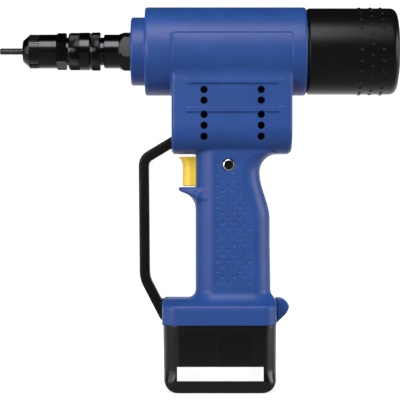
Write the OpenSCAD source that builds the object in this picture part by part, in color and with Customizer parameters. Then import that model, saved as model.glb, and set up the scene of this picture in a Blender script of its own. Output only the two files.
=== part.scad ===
// Battery rivet nut tool, standing on its battery pack.
// The muzzle points to -X, the tool's left side to -Y and the barrel top to +Z, in millimetres.
// The origin is on the standing surface, under the middle of the tool's length.

/* [Barrel] */
// Outer radius of the barrel
barrel_r = 33; // [31:0.5:36]
// Length of the barrel from its front shoulder to its rear rim
barrel_len = 120; // [114:1:130]
// How far the front shoulder of the barrel lies ahead of the origin
barrel_lead = 41; // [38:1:44]
// Radius of the front collar
collar_r = 25.5; // [24.5:0.5:27]
// Length of the front collar
collar_len = 10.5; // [9:0.5:13]
// Wall of the moulded housing
wall = 3; // [2.5:0.25:3.5]

/* [Motor block] */
// How far the front face of the motor block lies ahead of the origin
block_lead = 21; // [20.5:0.5:23]
// Length of the motor block
block_len = 89; // [88:1:94]
// Width of the motor block
block_w = 57; // [55:1:61]
// Room between the motor and the floor of the motor block
motor_room = 1.5; // [1:0.25:4]
// Rounding of the lower side edges of the motor block
block_edge_r = 9; // [6:1:10]
// Rounding of the lower rear corner of the motor block
block_rear_r = 8; // [5:1:10]
// Diameter of one cooling vent
vent_d = 5; // [4:0.5:6]
// Distance from the block front to the front row of vents
vent_front = 24; // [22:1:28]
// Distance between the front and the rear row of vents
vent_span = 42; // [36:1:46]
// Distance between neighbouring vents of a group
vent_pitch = 8; // [7:0.5:9]

/* [Grip] */
// Height of the grip from the base deck to the motor block
grip_h = 109; // [104:1:118]
// How far the front of the grip lies ahead of the origin
grip_lead = 3; // [1:0.5:4]
// Fore and aft depth of the grip at the palm
grip_depth = 55; // [53:1:60]
// Width of the grip
grip_w = 39; // [37:1:44]
// How far the thumb web is drawn in from the palm
web_inset = 8.5; // [6:0.5:10]
// Drop from the motor block to the deepest point of the thumb web
web_drop = 14; // [12:1:17]
// Drop from the motor block to the start of the palm swell
swell_drop = 49; // [40:1:58]

/* [Base] */
// Height of the base flange above the battery
flange_h = 18; // [16:1:22]
// How far the base flange runs out behind the grip
heel = 4.5; // [4:0.25:6]
// Width of the base flange
flange_w = 62; // [58:1:66]
// Rounding of the upright edges of the base flange
flange_corner_r = 10; // [7:1:13]

/* [Battery] */
// How far the battery steps in from the base flange
battery_step = 0.75; // [0.5:0.25:2]
// How far the battery ends lean in towards the bottom
battery_taper = 1.2; // [0.5:0.1:2]
// Rounding of the lower edges of the battery
battery_foot_r = 7; // [4:1:9]
// Wall of the battery case
battery_wall = 2.5; // [2:0.25:2.75]
// Height of the contact tower above the battery
tower_h = 34; // [28:1:38]
// Length of the contact tower
tower_len = 30; // [26:1:31]
// Width of the contact tower
tower_w = 22; // [19:1:23]
// Diameter of one battery cell
cell_d = 18.2; // [17.5:0.1:18.4]
// Length of one battery cell
cell_len = 65; // [60:1:67]
// Room between a cell's end and the end of the battery
cell_end = 9; // [8:0.25:11]
// Room for the wiring between the upper cells and the battery lid
cell_room = 6.2; // [4:0.2:14]

/* [Nose] */
// Diameter of the threaded mandrel
mandrel_d = 5; // [4:0.5:6]
// Length of the mandrel that stands out of the nosepiece
mandrel_out = 17; // [12:0.5:20]
// Radius of the nosepiece
nose_r = 12.75; // [12.25:0.25:13.5]
// Length of the chamfered tip of the nosepiece
nose_tip_len = 5.1; // [4:0.1:6]
// Length of the fluted band of the nosepiece
nose_flute_len = 8; // [6:0.5:10]
// Number of flutes round the nosepiece
nose_flutes = 36; // [24:2:48]
// Length of the plain part of the nosepiece
nose_plain_len = 12.75; // [11:0.25:16]
// Width across the flats of the lock nut
lock_nut_af = 24; // [23.5:0.25:26]
// Length of the lock nut
lock_nut_len = 7.5; // [6:0.5:9]
// Radius of the knurled sleeve
sleeve_r = 14.2; // [13.5:0.1:15]
// Length of the knurled sleeve
sleeve_len = 16.2; // [15:0.2:19]
// Radius of the knurled lock ring
ring_r = 14.5; // [13.5:0.1:15.5]
// Length of the knurled lock ring
ring_len = 7.2; // [6:0.2:9]
// Radius of the threaded necks of the nosepiece and the head
neck_r = 10.5; // [10:0.1:11]
// Width of the gap in front of the knurled sleeve
front_gap = 1.5; // [1:0.25:2.5]
// Width of the groove behind the lock ring
rear_gap = 2.6; // [1.5:0.1:4]
// Length of the round part of the steel head
head_round_len = 11.25; // [10:0.25:14]
// Length of the cone of the steel head
head_cone_len = 3.75; // [3:0.25:5]
// Length of the hexagon of the steel head
head_hex_len = 5.25; // [4:0.25:8]
// Radius of the hexagon of the steel head over its corners
head_hex_r = 15; // [14.5:0.25:17]

/* [Rear cap] */
// How far the rear cap steps in from the barrel
cap_step = 0.75; // [0:0.25:2.5]
// Length of the rear cap
cap_len = 70.5; // [62:0.5:78]
// Wall of the rear cap
cap_wall = 3; // [2:0.25:3.5]
// Rounding of the rear edge of the cap
cap_edge_r = 5; // [3:0.5:8]
// How far the end of the cap bulges
cap_dome = 3; // [1:0.5:5]

/* [Hand guard] */
// Thickness of the guard bar
guard_t = 7.6; // [6:0.2:9]
// Width of the guard bar
guard_w = 16; // [12:1:18]
// How far the upright of the guard stands ahead of the base
guard_lead = 14; // [10:0.5:17]

/* [Trigger] */
// Height of the trigger
trigger_h = 22; // [19:0.5:23]
// Width of the trigger
trigger_w = 14.5; // [12:0.5:16]
// How far the trigger stands out of the grip
trigger_out = 10; // [7:0.5:11]
// Travel of the trigger
trigger_travel = 5; // [3:0.5:6]

/* [Drive] */
// Module of the spur gears
gear_m = 1; // [0.95:0.01:1.03]
// Room between the drive gear and the barrel bore
gear_room = 3.2; // [2.6:0.1:4]
// Module of the planetary gears
planet_m = 0.8; // [0.76:0.01:0.82]
// Width of the spur gears
gear_w = 9; // [7:0.5:9.5]
// Radius of the ball screw
screw_r = 7.5; // [6.5:0.25:8]
// Stroke of the ball screw
stroke = 5.5; // [3:0.5:6]
// Radius of the motor
motor_r = 18; // [17:0.25:18.5]

/* [Hidden] */

// Clearances and small common sizes
fit = 0.3;            // between pieces that only locate each other
run = 0.1;            // between a shaft and its bearing, and between turning faces
skin = 0.4;           // thickness of the label
eps = 0.02;           // overlap that joins two shapes of one solid
far = 400;            // longer than the tool
round_fn = 96;

blue = [0.13, 0.23, 0.52];
black = [0.05, 0.05, 0.055];
steel_black = [0.08, 0.08, 0.085];
steel = [0.62, 0.63, 0.65];
alu = [0.72, 0.73, 0.75];
brass = [0.78, 0.62, 0.28];
yellow = [0.93, 0.72, 0.12];
copper = [0.72, 0.42, 0.25];

// Spur gears, from the motor up to the barrel axis
bore_r = barrel_r - wall;
pinion_z = 12;
idler_z = 22;
tooth_add = 0.8;      // height of a tooth above the pitch circle, in modules
tooth_ded = 1.1;      // depth of a tooth below the pitch circle, in modules
// The drive gear fills the barrel bore, with a tooth on every quarter so that it meshes with the idler
drive_z = 4 * floor((2 * (bore_r - gear_room) / gear_m - 2 * tooth_add) / 4 + 0.001);
pinion_pr = gear_m * pinion_z / 2;
idler_pr = gear_m * idler_z / 2;
drive_pr = gear_m * drive_z / 2;
motor_drop = drive_pr + 2 * idler_pr + pinion_pr;
block_drop = motor_drop + motor_r + motor_room + wall;

// Heights, from the standing surface up, where two layers of cells lie under the battery lid
lid_len = 4;
cell_gap = 0.6;
cell_floor = battery_wall + fit;
battery_h = cell_floor + 2 * cell_d + cell_gap + cell_room + lid_len;
deck_z = battery_h + flange_h;
block_z = deck_z + grip_h;
axis_z = block_z + block_drop;

// Barrel and block
barrel_x0 = -barrel_lead;
barrel_x1 = barrel_x0 + barrel_len;
collar_x0 = barrel_x0 - collar_len;
block_x0 = -block_lead;
block_x1 = block_x0 + block_len;
block_y = block_w / 2;
block_front_r = 3;
rim_chamfer = 1.2;

// Grip
grip_x0 = -grip_lead;
grip_x1 = grip_x0 + grip_depth;
grip_y = grip_w / 2;
grip_wall = wall + 0.5;
grip_power = 3.4;     // squareness of the grip's section
web_x = grip_x1 - web_inset;
web_z = block_z - web_drop;
swell_z = block_z - swell_drop;
web_flare_r = web_drop + 1;
foot_flare = 3.2;       // how far the grip spreads where it meets the deck
foot_flare_h = 7;
cavity_x0 = grip_x0 + grip_wall;
cavity_x1 = web_x - grip_wall;
cavity_y = grip_y - grip_wall - 1.5;
cavity_corner_r = 10;

// Base
flange_len = cell_len + 2 * cell_end + 2 * battery_step;
flange_x1 = grip_x1 + heel;
flange_x0 = flange_x1 - flange_len;
flange_y = flange_w / 2;
deck_edge = 3;
flange_mid_x = (flange_x0 + flange_x1) / 2;

// Nose stack, from the collar forward
head_hex_x = collar_x0 - head_hex_len;
head_cone_x = head_hex_x - head_cone_len;
head_round_x = head_cone_x - head_round_len;
ring_x1 = head_round_x - rear_gap;
ring_x0 = ring_x1 - ring_len;
sleeve_x1 = ring_x0 - fit;
sleeve_x0 = sleeve_x1 - sleeve_len;
nut_x1 = sleeve_x0 - front_gap;
nut_x0 = nut_x1 - lock_nut_len;
nose_plain_x = nut_x0 - run - nose_plain_len;
nose_flute_x = nose_plain_x - nose_flute_len;
nose_x0 = nose_flute_x - nose_tip_len;
mandrel_x0 = nose_x0 - mandrel_out;
neck_meet_x = (sleeve_x0 + sleeve_x1) / 2;
nose_tip_r = nose_r - 4.6;
head_round_r = nose_r;
spigot_r = collar_r - wall;
spigot_x1 = barrel_x0 + wall;
head_hex_turn = 15;
nut_turn = 36;

// Mandrel, holder and ball screw
mandrel_r = mandrel_d / 2;
mandrel_head_r = mandrel_r + 2.5;
mandrel_head_len = 6;
shank_r = mandrel_r + 0.6;
shank_x0 = nose_x0 - 0.2;
holder_r = mandrel_head_r + 1.6;
holder_len = 22;
stub_r = 4;
stub_len = 8;
holder_x1 = head_round_x - 12;
holder_x0 = holder_x1 - holder_len;
keeper_len = 1.3;
screw_x0 = holder_x1 + fit;
screw_bore_r = screw_r + 0.8;

// Thrust bearing and ball nut, from the head back
thrust_plate_x0 = spigot_x1 + run;
thrust_plate_len = 6;
washer_len = 1.2;
cage_len = 2.2;
washer_fixed_x0 = thrust_plate_x0 + thrust_plate_len + run;
cage_x0 = washer_fixed_x0 + washer_len + run;
washer_turn_x0 = cage_x0 + cage_len + run;
nut_flange_x0 = washer_turn_x0 + washer_len + run;
nut_flange_len = 4;
ball_nut_r = screw_r + 5.5;
nut_flange_r = ball_nut_r + 4;
washer_ri = screw_r + 2;
washer_ro = nut_flange_r - 1;

// Gear train in the block
gear_x0 = block_x0 + wall + fit + 4.7;
gear_x1 = gear_x0 + gear_w;
cover_len = 3.5;
cover_x0 = gear_x0 - 1 - cover_len;
plate_len = 6;
plate_x0 = gear_x1 + 1;
plate_x1 = plate_x0 + plate_len;
sun_z = 12;
hub_rim = 2.55;       // metal left inside and outside the drive gear's holes
idler_z0 = axis_z - drive_pr - idler_pr;
motor_z = axis_z - motor_drop;
slim = 0.9;           // share of the tooth left after backlash
ball_nut_x1 = plate_x1 + 7;
bearing_ri = ball_nut_r + run;
bearing_ro = bearing_ri + 8;
bearing_mid = (bearing_ri + bearing_ro) / 2;
bearing_ball_r = 2.2;
race_r = bearing_ball_r + 0.15;
bearing_balls = 12;
idler_axle_r = 3;
idler_bore_r = idler_axle_r + run / 2;
shaft_r = 3;
post_r = 2.5;
plate_y = block_y - wall - 1.5;
plate_foot = 10;      // how far the gear plates reach below the motor axis
posts = [for (side = [-1, 1]) for (z = [motor_z, idler_z0 - 4]) [side * (plate_y - 4), z]];

// Planetary stage and motor
ring_z = 3 * sun_z;
planet_pr = planet_m * sun_z / 2;
orbit_r = 2 * planet_pr;
ring_pr = planet_m * ring_z / 2;
ring_gear_len = 15;
ring_gear_x1 = plate_x1 + run + ring_gear_len;
carrier_x0 = plate_x1 + run + 1;
carrier_len = 3;
planet_x0 = carrier_x0 + carrier_len + 0.4;
planet_len = 6.5;
planet_pin_r = 1.6;
motor_x0 = ring_gear_x1 + run;
bell_len = 5;
motor_x1 = block_x1 - wall - 1.5 - bell_len;
motor_wall = 2;
armature_r = motor_r - motor_wall - 3;

// Rear of the barrel
guide_ri = screw_r + 3.5;
guide_ro = guide_ri + 3;
rear_flange_len = 7;
rear_flange_x0 = barrel_x1 - rear_flange_len;
rear_boss_len = 16;
cap_r = barrel_r - cap_step;
rear_boss_r = cap_r - cap_wall - fit;
adjuster_r = guide_ri + 0.5;
adjuster_head_r = adjuster_r + 4.5;
adjuster_front_x = rear_flange_x0 - 6;
adjuster_neck = 9;    // length of the adjuster between the barrel's rim and its head
adjuster_head_len = 13;
screw_x1 = adjuster_front_x - stroke - 0.5;
guide_x0 = ball_nut_x1 + 0.5;
guide_x1 = adjuster_front_x - run;
pin_r = 2;
pin_x = screw_x1 - 8;
cap_gap = 0.5;
adjuster_head_x = barrel_x1 + adjuster_neck;
cap_x0 = barrel_x1 + cap_gap;
cap_x1 = cap_x0 + cap_len;

// Trigger
trigger_gap = 0.6;
trigger_z1 = block_z - 2.4;
trigger_z0 = trigger_z1 - trigger_h;
trigger_x0 = grip_x0 - trigger_out;
trigger_tail = 9;     // length of the trigger inside the grip
trigger_x1 = grip_x0 + trigger_tail;
trigger_lip = 3.2;    // how far the top of the trigger flares forward
spur_z1 = trigger_z0 - trigger_gap - 0.2;
spur_reach = 13;
spur_t = 3.4;
spur_drop = 9;
spur_w = 18;
switch_x0 = trigger_x1 + trigger_travel + 1;
switch_len = 21;
switch_h = 16;
switch_w = 2 * cavity_y - 4;
switch_z0 = trigger_z0 - 6;
plunger_r = 2.5;
plunger_z = trigger_z0 + 5;

// Handle bolt
bolt_x = grip_x0 + 24.3;
bolt_z = block_z - 9;
bolt_head_r = 4.5;
bolt_head_len = 2.2;
bolt_shank_r = 2.5;
bolt_hex_r = 2.9;
bolt_pocket = 1;    // depth of the bolt's pocket in the side of the grip
bolt_seat_y = grip_y - bolt_pocket - bolt_head_len;

// Battery
battery_x0 = flange_x0 + battery_step;
battery_x1 = flange_x1 - battery_step;
battery_y = flange_y - battery_step - 0.25;
battery_corner_r = flange_corner_r + 2;
lid_z0 = battery_h - lid_len;
tower_x0 = cavity_x0 + 4;
tower_x1 = tower_x0 + tower_len;
tower_z1 = battery_h + tower_h;
cell_r = cell_d / 2;
blade_t = 1.2;
blade_len = 6;
blade_w = 7;
blade_out = 5;        // how far a blade stands above its block
blade_gap = 0.8;
blade_pitch = blade_len + 2 * blade_gap + 1.6;
blades = [for (i = [-1, 0, 1]) (tower_x0 + tower_x1) / 2 + i * blade_pitch];
terminal_h = 10;
terminal_z0 = tower_z1 + 1.2;

// Latch
latch_w = 22;
latch_z1 = deck_z + 1;
latch_z0 = battery_h + 1.2;
latch_out = 10;
latch_r = 6;
latch_pin_r = 1;
latch_pin_x = flange_x1 - wall / 2;
latch_pin_z = deck_z - 5.5;
latch_arm = 3.2;
latch_arm_x0 = flange_x1 - wall - fit - latch_arm - 0.8;
latch_hook_z = battery_h - 3;
latch_spring_r = 2.6;
latch_pin_seat = 5.5;  // how far the pin runs into the base on each side
latch_spring_x0 = cavity_x1 + grip_wall;
latch_spring_z = battery_h + 9;
latch_rib = 2;

// Guard centre line
guard_x = flange_x0 - guard_lead;
guard_top = [block_x0, block_z + 8.2];
guard_bend_top = [guard_x, block_z - 4.3];
guard_bend_low = [guard_x + 0.8, deck_z + 16];
guard_low = [flange_x0, deck_z - 9.5];
guard_tab_len = 9;
guard_tab_h = 6.4;
guard_tab_x = 5.4;    // from the wall to the screw through a tab
guard_y = guard_w / 2;

// Housing screws: x, z, seat of the head, inner end of the boss
boss_r = 3.6;
screw_shank_r = 1.5;
screw_head_r = 2.9;
screw_head_len = 2.4;
screw_bite = 9.5;
rim_screw = bore_r - boss_r + 0.6;
rim_seat = sqrt(pow(barrel_r, 2) - pow(rim_screw + screw_head_r, 2)) - screw_head_len - 0.5;
screw_front_x = (thrust_plate_x0 + thrust_plate_len + cover_x0) / 2;
screw_rear_x = rear_flange_x0 - boss_r - 0.8;
screw_places = [
    [screw_front_x, axis_z + rim_screw, rim_seat, 0],
    [screw_front_x, axis_z - rim_screw, rim_seat, 0],
    [screw_rear_x, axis_z + rim_screw, rim_seat, 0],
    [screw_rear_x, axis_z - rim_screw, rim_seat, 0],
    [cavity_x1 - 1.5, web_z - 25, grip_y - 6, 0],
    [cavity_x0 + 5, terminal_z0 + terminal_h + 9, grip_y - 6, 0],
    [flange_x0 + guard_tab_x, guard_low[1], flange_y - 5, guard_y + fit],
    [block_x0 + guard_tab_x, block_z + wall + 1 + guard_tab_h / 2, block_y - 8, guard_y + fit]];

// Leads, as round numbers from the terminal block and the switch
lead_r = 1.1;
board_t = 1.6;
board_z0 = screw_places[5][1] + boss_r + 1.5;
board_z1 = screw_places[4][1] - boss_r - 1.5;
board_y = -6;
terminal_z1 = terminal_z0 + terminal_h;
lead_x = (tower_x0 + tower_x1) / 2 + 4;

// Points of an arc, from angle a0 to a1
function arc(cx, cy, r, a0, a1, n = 6) =
    [for (i = [0:n]) [cx + r * cos(a0 + (a1 - a0) * i / n), cy + r * sin(a0 + (a1 - a0) * i / n)]];

// Outline of a rectangle with round corners, lower left to upper right
function round_rect(x0, y0, x1, y1, r, n = 6) = concat(
    arc(x0 + r, y0 + r, r, 180, 270, n), arc(x1 - r, y0 + r, r, 270, 360, n),
    arc(x1 - r, y1 - r, r, 0, 90, n), arc(x0 + r, y1 - r, r, 90, 180, n));

// Smooth step from 0 to 1
function ease(t) = let (c = max(0, min(1, t))) c * c * (3 - 2 * c);

// A closed solid through rings of points, each ring with the same number of points
module loft(rings) {
    n = len(rings[0]);
    m = len(rings);
    points = [for (ring = rings) each ring];
    sides = [for (j = [0:m - 2]) for (i = [0:n - 1]) let (a = j * n + i, b = j * n + (i + 1) % n)
        each [[a, a + n, b], [b, a + n, b + n]]];
    caps = [[for (i = [0:n - 1]) i], [for (i = [n - 1:-1:0]) (m - 1) * n + i]];
    polyhedron(points, concat(sides, caps), convexity = 6);
}

// A tube of eight sides along a list of points
module lead(path, r = lead_r, sides = 8) {
    n = len(path);
    function way(i) = let (d = path[min(n - 1, i + 1)] - path[max(0, i - 1)]) d / norm(d);
    function across(d) = let (u = abs(d[1]) < 0.9 ? cross(d, [0, 1, 0]) : cross(d, [1, 0, 0])) u / norm(u);
    rings = [for (i = [0:n - 1]) let (d = way(i), u = across(d), v = cross(d, u))
        [for (k = [0:sides - 1]) path[i] + r * (u * cos(360 * k / sides) - v * sin(360 * k / sides))]];
    loft(rings);
}

// A coil spring along local Z, its wire swept through its turns
module coil(r, wire, length, turns) {
    steps = 8 * turns;
    path = [for (i = [0:steps]) [r * cos(45 * i), r * sin(45 * i), wire + (length - 2 * wire) * i / steps]];
    lead(path, wire, 6);
}

// Placing helpers: local Z becomes +X, at a height
module along_x(x, z) { translate([x, 0, z]) rotate([90, 0, 90]) children(); }
module turned(points, z = axis_z) {
    translate([0, 0, z]) rotate([0, 90, 0])
        rotate_extrude($fn = round_fn) polygon([for (p = points) [p[1], p[0]]]);
}
module tube_x(x0, x1, ri, ro, z = axis_z) {
    turned([[x0, ri], [x1, ri], [x1, ro], [x0, ro]], z);
}
module rod_x(x0, x1, r, z = axis_z) {
    along_x(x0, z) cylinder(r = r, h = x1 - x0, $fn = round_fn);
}
// A rod along Y between two places on that axis
module rod_y(x, z, y0, y1, r, fn = 48) {
    translate([x, y1, z]) rotate([90, 0, 0]) cylinder(r = r, h = y1 - y0, $fn = fn);
}
// An X-Z outline drawn out along Y between two places
module slab_y(points, y0, y1) {
    translate([0, y1, 0]) rotate([90, 0, 0]) linear_extrude(y1 - y0) polygon(points);
}
module bar_z(points, z0, z1) {
    translate([0, 0, z0]) linear_extrude(z1 - z0) polygon(points);
}

// Outline of an involute spur gear with one tooth on the local X axis
function involute(a) = tan(a) * 180 / PI - a;
function gear_outline(m, z, add, ded, share, n = 4) = let (
    pr = m * z / 2, rb = pr * cos(20), tip = pr + add * m, root = pr - ded * m, low = max(rb, root),
    half = 90 / z * share + involute(20),
    radii = [for (i = [0:n]) low + (tip - low) * i / n],
    turn = [for (r = radii) half - involute(acos(min(1, rb / r)))])
    [for (k = [0:z - 1]) let (a = 360 * k / z) each concat(
        [root * [cos(a - turn[0]), sin(a - turn[0])]],
        [for (i = [0:n]) radii[i] * [cos(a - turn[i]), sin(a - turn[i])]],
        [for (i = [n:-1:0]) radii[i] * [cos(a + turn[i]), sin(a + turn[i])]],
        [root * [cos(a + turn[0]), sin(a + turn[0])]])];
module spur_gear(m, z, width) {
    linear_extrude(width) polygon(gear_outline(m, z, tooth_add, tooth_ded, slim));
}

// Housing
function grip_back(z) =
    z > web_z ? web_x + web_flare_r - sqrt(pow(web_flare_r, 2) - pow(min(z - web_z, web_drop), 2))
    : z > swell_z ? grip_x1 - web_inset * ease((z - swell_z) / (web_z - swell_z))
    : grip_x1 + foot_spread(z);
function foot_spread(z) = foot_flare * pow(max(0, min(1, 1 - (z - deck_z) / foot_flare_h)), 2);
function head_spread(z) = 5 * pow(max(0, 1 - (block_z - z) / 9), 2);
function grip_ring(z, n = 14) = let (
    x0 = grip_x0 - foot_spread(z), x1 = grip_back(z), w = grip_y + foot_spread(z) + head_spread(z),
    cx = (x0 + x1) / 2, a = (x1 - x0) / 2)
    [for (i = [0:n]) let (c = cos(180 * i / n), s = sin(180 * i / n))
        [cx - a * sign(c) * pow(abs(c), 2 / grip_power), -w * pow(abs(s), 2 / grip_power), z]];
module grip_half() {
    heights = concat([for (i = [0:3]) deck_z - 1 + (foot_flare_h + 1) * i / 3],
        [for (i = [1:3]) deck_z + foot_flare_h + (swell_z - deck_z - foot_flare_h) * i / 3],
        [for (i = [1:6]) swell_z + (web_z - swell_z) * i / 6],
        [for (i = [1:5]) web_z + (block_z + 1 - web_z) * i / 5]);
    loft([for (z = heights) grip_ring(z)]);
}

block_side = concat(arc(block_x0 + block_front_r, block_z + block_front_r, block_front_r, 180, 270),
    arc(block_x1 - block_rear_r, block_z + block_rear_r, block_rear_r, 270, 360),
    [[block_x1, axis_z], [block_x0, axis_z]]);
block_end = concat([[0, axis_z]], [[-block_y, axis_z]],
    arc(-block_y + block_edge_r, block_z + block_edge_r, block_edge_r, 180, 270), [[0, block_z]]);

module block_half() {
    intersection() {
        slab_y(block_side, -block_y, 0);
        along_x(block_x0, 0) linear_extrude(block_len) polygon(block_end);
    }
}
ledge_x0 = block_x0 + 11;
ledge_x1 = block_x1 - 9;
ledge_t = 0.8;
ledge_h = 3;
vent_z = block_z + 12;
ledge_z = [vent_z + 2 * vent_pitch + 2.2, vent_z + 4 * vent_pitch + 7];
module ledges_half() {
    for (z = ledge_z)
        slab_y([[ledge_x0, z], [ledge_x1, z], [ledge_x1, z + ledge_h], [ledge_x0, z + ledge_h]],
            -block_y - ledge_t, -block_y + 1);
}
vent_heights = concat([for (i = [0:2]) vent_z + i * vent_pitch], [for (i = [0:1]) vent_z + i * vent_pitch + 2 * vent_pitch + 10]);
module vents_half() {
    for (x = [block_x0 + vent_front, block_x0 + vent_front + vent_span])
        for (z = vent_heights)
            rod_y(x, z, -block_y - 5, -block_y + wall + 1, vent_d / 2);
}
module flange_half() {
    intersection() {
        union() {
            bar_z(round_rect(flange_x0, -flange_y, flange_x1, flange_y, flange_corner_r), battery_h, deck_z - deck_edge);
            for (i = [0:2]) {
                inset = deck_edge * (1 - cos(30 * (i + 1)));
                bar_z(round_rect(flange_x0 + inset, -flange_y + inset, flange_x1 - inset, flange_y - inset, flange_corner_r - inset),
                    deck_z - deck_edge + deck_edge * sin(30 * i) - eps, deck_z - deck_edge + deck_edge * sin(30 * (i + 1)));
            }
        }
        translate([-far / 2, -far, 0]) cube([far, far, far]);
    }
}
spur_side = concat([[grip_x0 + 8, spur_z1]], arc(grip_x0 - spur_reach + spur_t / 2, spur_z1 - spur_t / 2, spur_t / 2, 90, 270),
    [for (t = [15:15:90]) [grip_x0 - spur_reach + spur_t / 2 + (spur_reach - spur_t / 2) * sin(t),
        spur_z1 - spur_t - spur_drop + spur_drop * cos(t)]],
    [[grip_x0 + 8, spur_z1 - spur_t - spur_drop]]);
module outer_half() {
    intersection() {
        turned([[collar_x0, 0], [collar_x0, collar_r - rim_chamfer], [collar_x0 + rim_chamfer, collar_r],
            [barrel_x0, collar_r], [barrel_x0, barrel_r - rim_chamfer], [barrel_x0 + rim_chamfer, barrel_r],
            [barrel_x1 - rim_chamfer, barrel_r], [barrel_x1, barrel_r - rim_chamfer], [barrel_x1, 0]]);
        translate([-far / 2, -far, 0]) cube([far, far, far]);
    }
    block_half();
    ledges_half();
    grip_half();
    flange_half();
    slab_y(spur_side, -spur_w / 2, 0);
}
inner_block_side = concat(arc(block_x0 + wall + 1, block_z + wall + 1, 1, 180, 270, 2),
    arc(block_x1 - wall - 4, block_z + wall + 4, 4, 270, 360, 3),
    [[block_x1 - wall, axis_z], [block_x0 + wall, axis_z]]);
inner_block_end = concat([[eps, axis_z]], [[-block_y + wall, axis_z]],
    arc(-block_y + block_edge_r, block_z + block_edge_r, block_edge_r - wall, 180, 270, 4), [[eps, block_z + wall]]);
module cavity_half() {
    intersection() {
        union() {
            rod_x(barrel_x0 + wall, barrel_x1 + 1, bore_r);
            rod_x(collar_x0 - 1, barrel_x0 + wall + 1, spigot_r);
        }
        translate([-far / 2, -far, 0]) cube([far, far + eps, far]);
    }
    intersection() {
        slab_y(inner_block_side, -block_y, eps);
        along_x(block_x0, 0) linear_extrude(block_len) polygon(inner_block_end);
    }
    intersection() {
        union() {
            bar_z(round_rect(cavity_x0, -cavity_y, cavity_x1, cavity_y, cavity_corner_r), battery_h + 5, block_z + wall + 1);
            bar_z(round_rect(flange_x0 + wall, -flange_y + wall, flange_x1 - wall, flange_y - wall, flange_corner_r - wall),
                battery_h - 1, deck_z - wall - 1);
        }
        translate([-far / 2, -far, 0]) cube([far, far + eps, far]);
    }
}
trigger_y = trigger_w / 2 + fit;
module openings_half() {
    vents_half();
    translate([grip_x0 - 3, -trigger_y, trigger_z0 - trigger_gap])
        cube([grip_wall + 6, trigger_y + eps, trigger_h + 2 * trigger_gap]);
    translate([block_x0 - 1, -guard_y - fit, block_z + wall + 1 - fit])
        cube([wall + 2, guard_y + fit + eps, guard_tab_h + 2 * fit]);
    translate([flange_x0 - 1, -guard_y - fit, guard_low[1] - guard_tab_h / 2 - fit])
        cube([wall + 2, guard_y + fit + eps, guard_tab_h + 2 * fit]);
    translate([flange_x1 - wall - 1, -latch_w / 2 - fit, battery_h - 1])
        cube([wall + 2, latch_w / 2 + fit + eps, latch_pin_z + latch_pin_r + latch_arm - battery_h]);
    rod_y(latch_pin_x, latch_pin_z, -latch_w / 2 - latch_pin_seat - 0.2, eps, latch_pin_r + run);
}
module housing_half() {
    difference() {
        outer_half();
        cavity_half();
        openings_half();
    }
    translate([latch_spring_x0 - 0.1 - latch_rib, -latch_spring_r - 2, latch_spring_z - latch_spring_r - 1])
        cube([latch_rib, latch_spring_r + 2, deck_z - 1 - latch_spring_z + latch_spring_r + 1]);
}
module left_housing() color(blue) {
    difference() {
        union() {
            housing_half();
            for (s = screw_places) rod_y(s[0], s[1], -s[2], -s[3], boss_r);
            rod_y(bolt_x, bolt_z, -bolt_seat_y, 0, bolt_shank_r + 2.5);
        }
        for (s = screw_places) rod_y(s[0], s[1], -s[3] - screw_bite - 0.5, 1, screw_shank_r + 0.05);
        rod_y(bolt_x, bolt_z, -far, -bolt_seat_y, bolt_head_r + fit);
        rod_y(bolt_x, bolt_z, -bolt_seat_y - 1, 1, bolt_shank_r + fit);
    }
}
module right_housing() color(blue) {
    difference() {
        union() {
            mirror([0, 1, 0]) housing_half();
            for (s = screw_places) rod_y(s[0], s[1], s[3], s[2], boss_r);
            rod_y(bolt_x, bolt_z, 0, bolt_seat_y + 1, bolt_shank_r + 2.5);
        }
        for (s = screw_places) {
            rod_y(s[0], s[1], -1, s[2] + 1, screw_shank_r + 0.2);
            rod_y(s[0], s[1], s[2], far, screw_head_r + fit);
        }
        rod_y(bolt_x, bolt_z, -1, bolt_seat_y - 4, bolt_shank_r + 0.05);
    }
}
module housing_screws() color(steel_black) {
    for (s = screw_places) difference() {
        union() {
            rod_y(s[0], s[1], s[2], s[2] + screw_head_len, screw_head_r);
            rod_y(s[0], s[1], -s[3] - screw_bite, s[2] + eps, screw_shank_r);
        }
        rod_y(s[0], s[1], s[2] + screw_head_len - 1.4, far, 1.5, 6);
    }
}
module handle_bolt() color(steel) {
    difference() {
        union() {
            rod_y(bolt_x, bolt_z, -bolt_seat_y - bolt_head_len, -bolt_seat_y, bolt_head_r);
            rod_y(bolt_x, bolt_z, -bolt_seat_y - eps, bolt_seat_y - 5, bolt_shank_r);
        }
        rod_y(bolt_x, bolt_z, -far, -bolt_seat_y - 0.6, bolt_hex_r, 6);
    }
}

// Hand guard: a bent bar whose two tabs are trapped in the housing
function unit(v) = v / norm(v);
function side_of(a, b) = let (d = unit(b - a)) [-d[1], d[0]];
function mitre(a, b, c) = let (n = unit(side_of(a, b) + side_of(b, c))) n / (n * side_of(a, b));
guard_line = [guard_top, guard_bend_top, guard_bend_low, guard_low];
guard_bend_r = 5;
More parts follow.
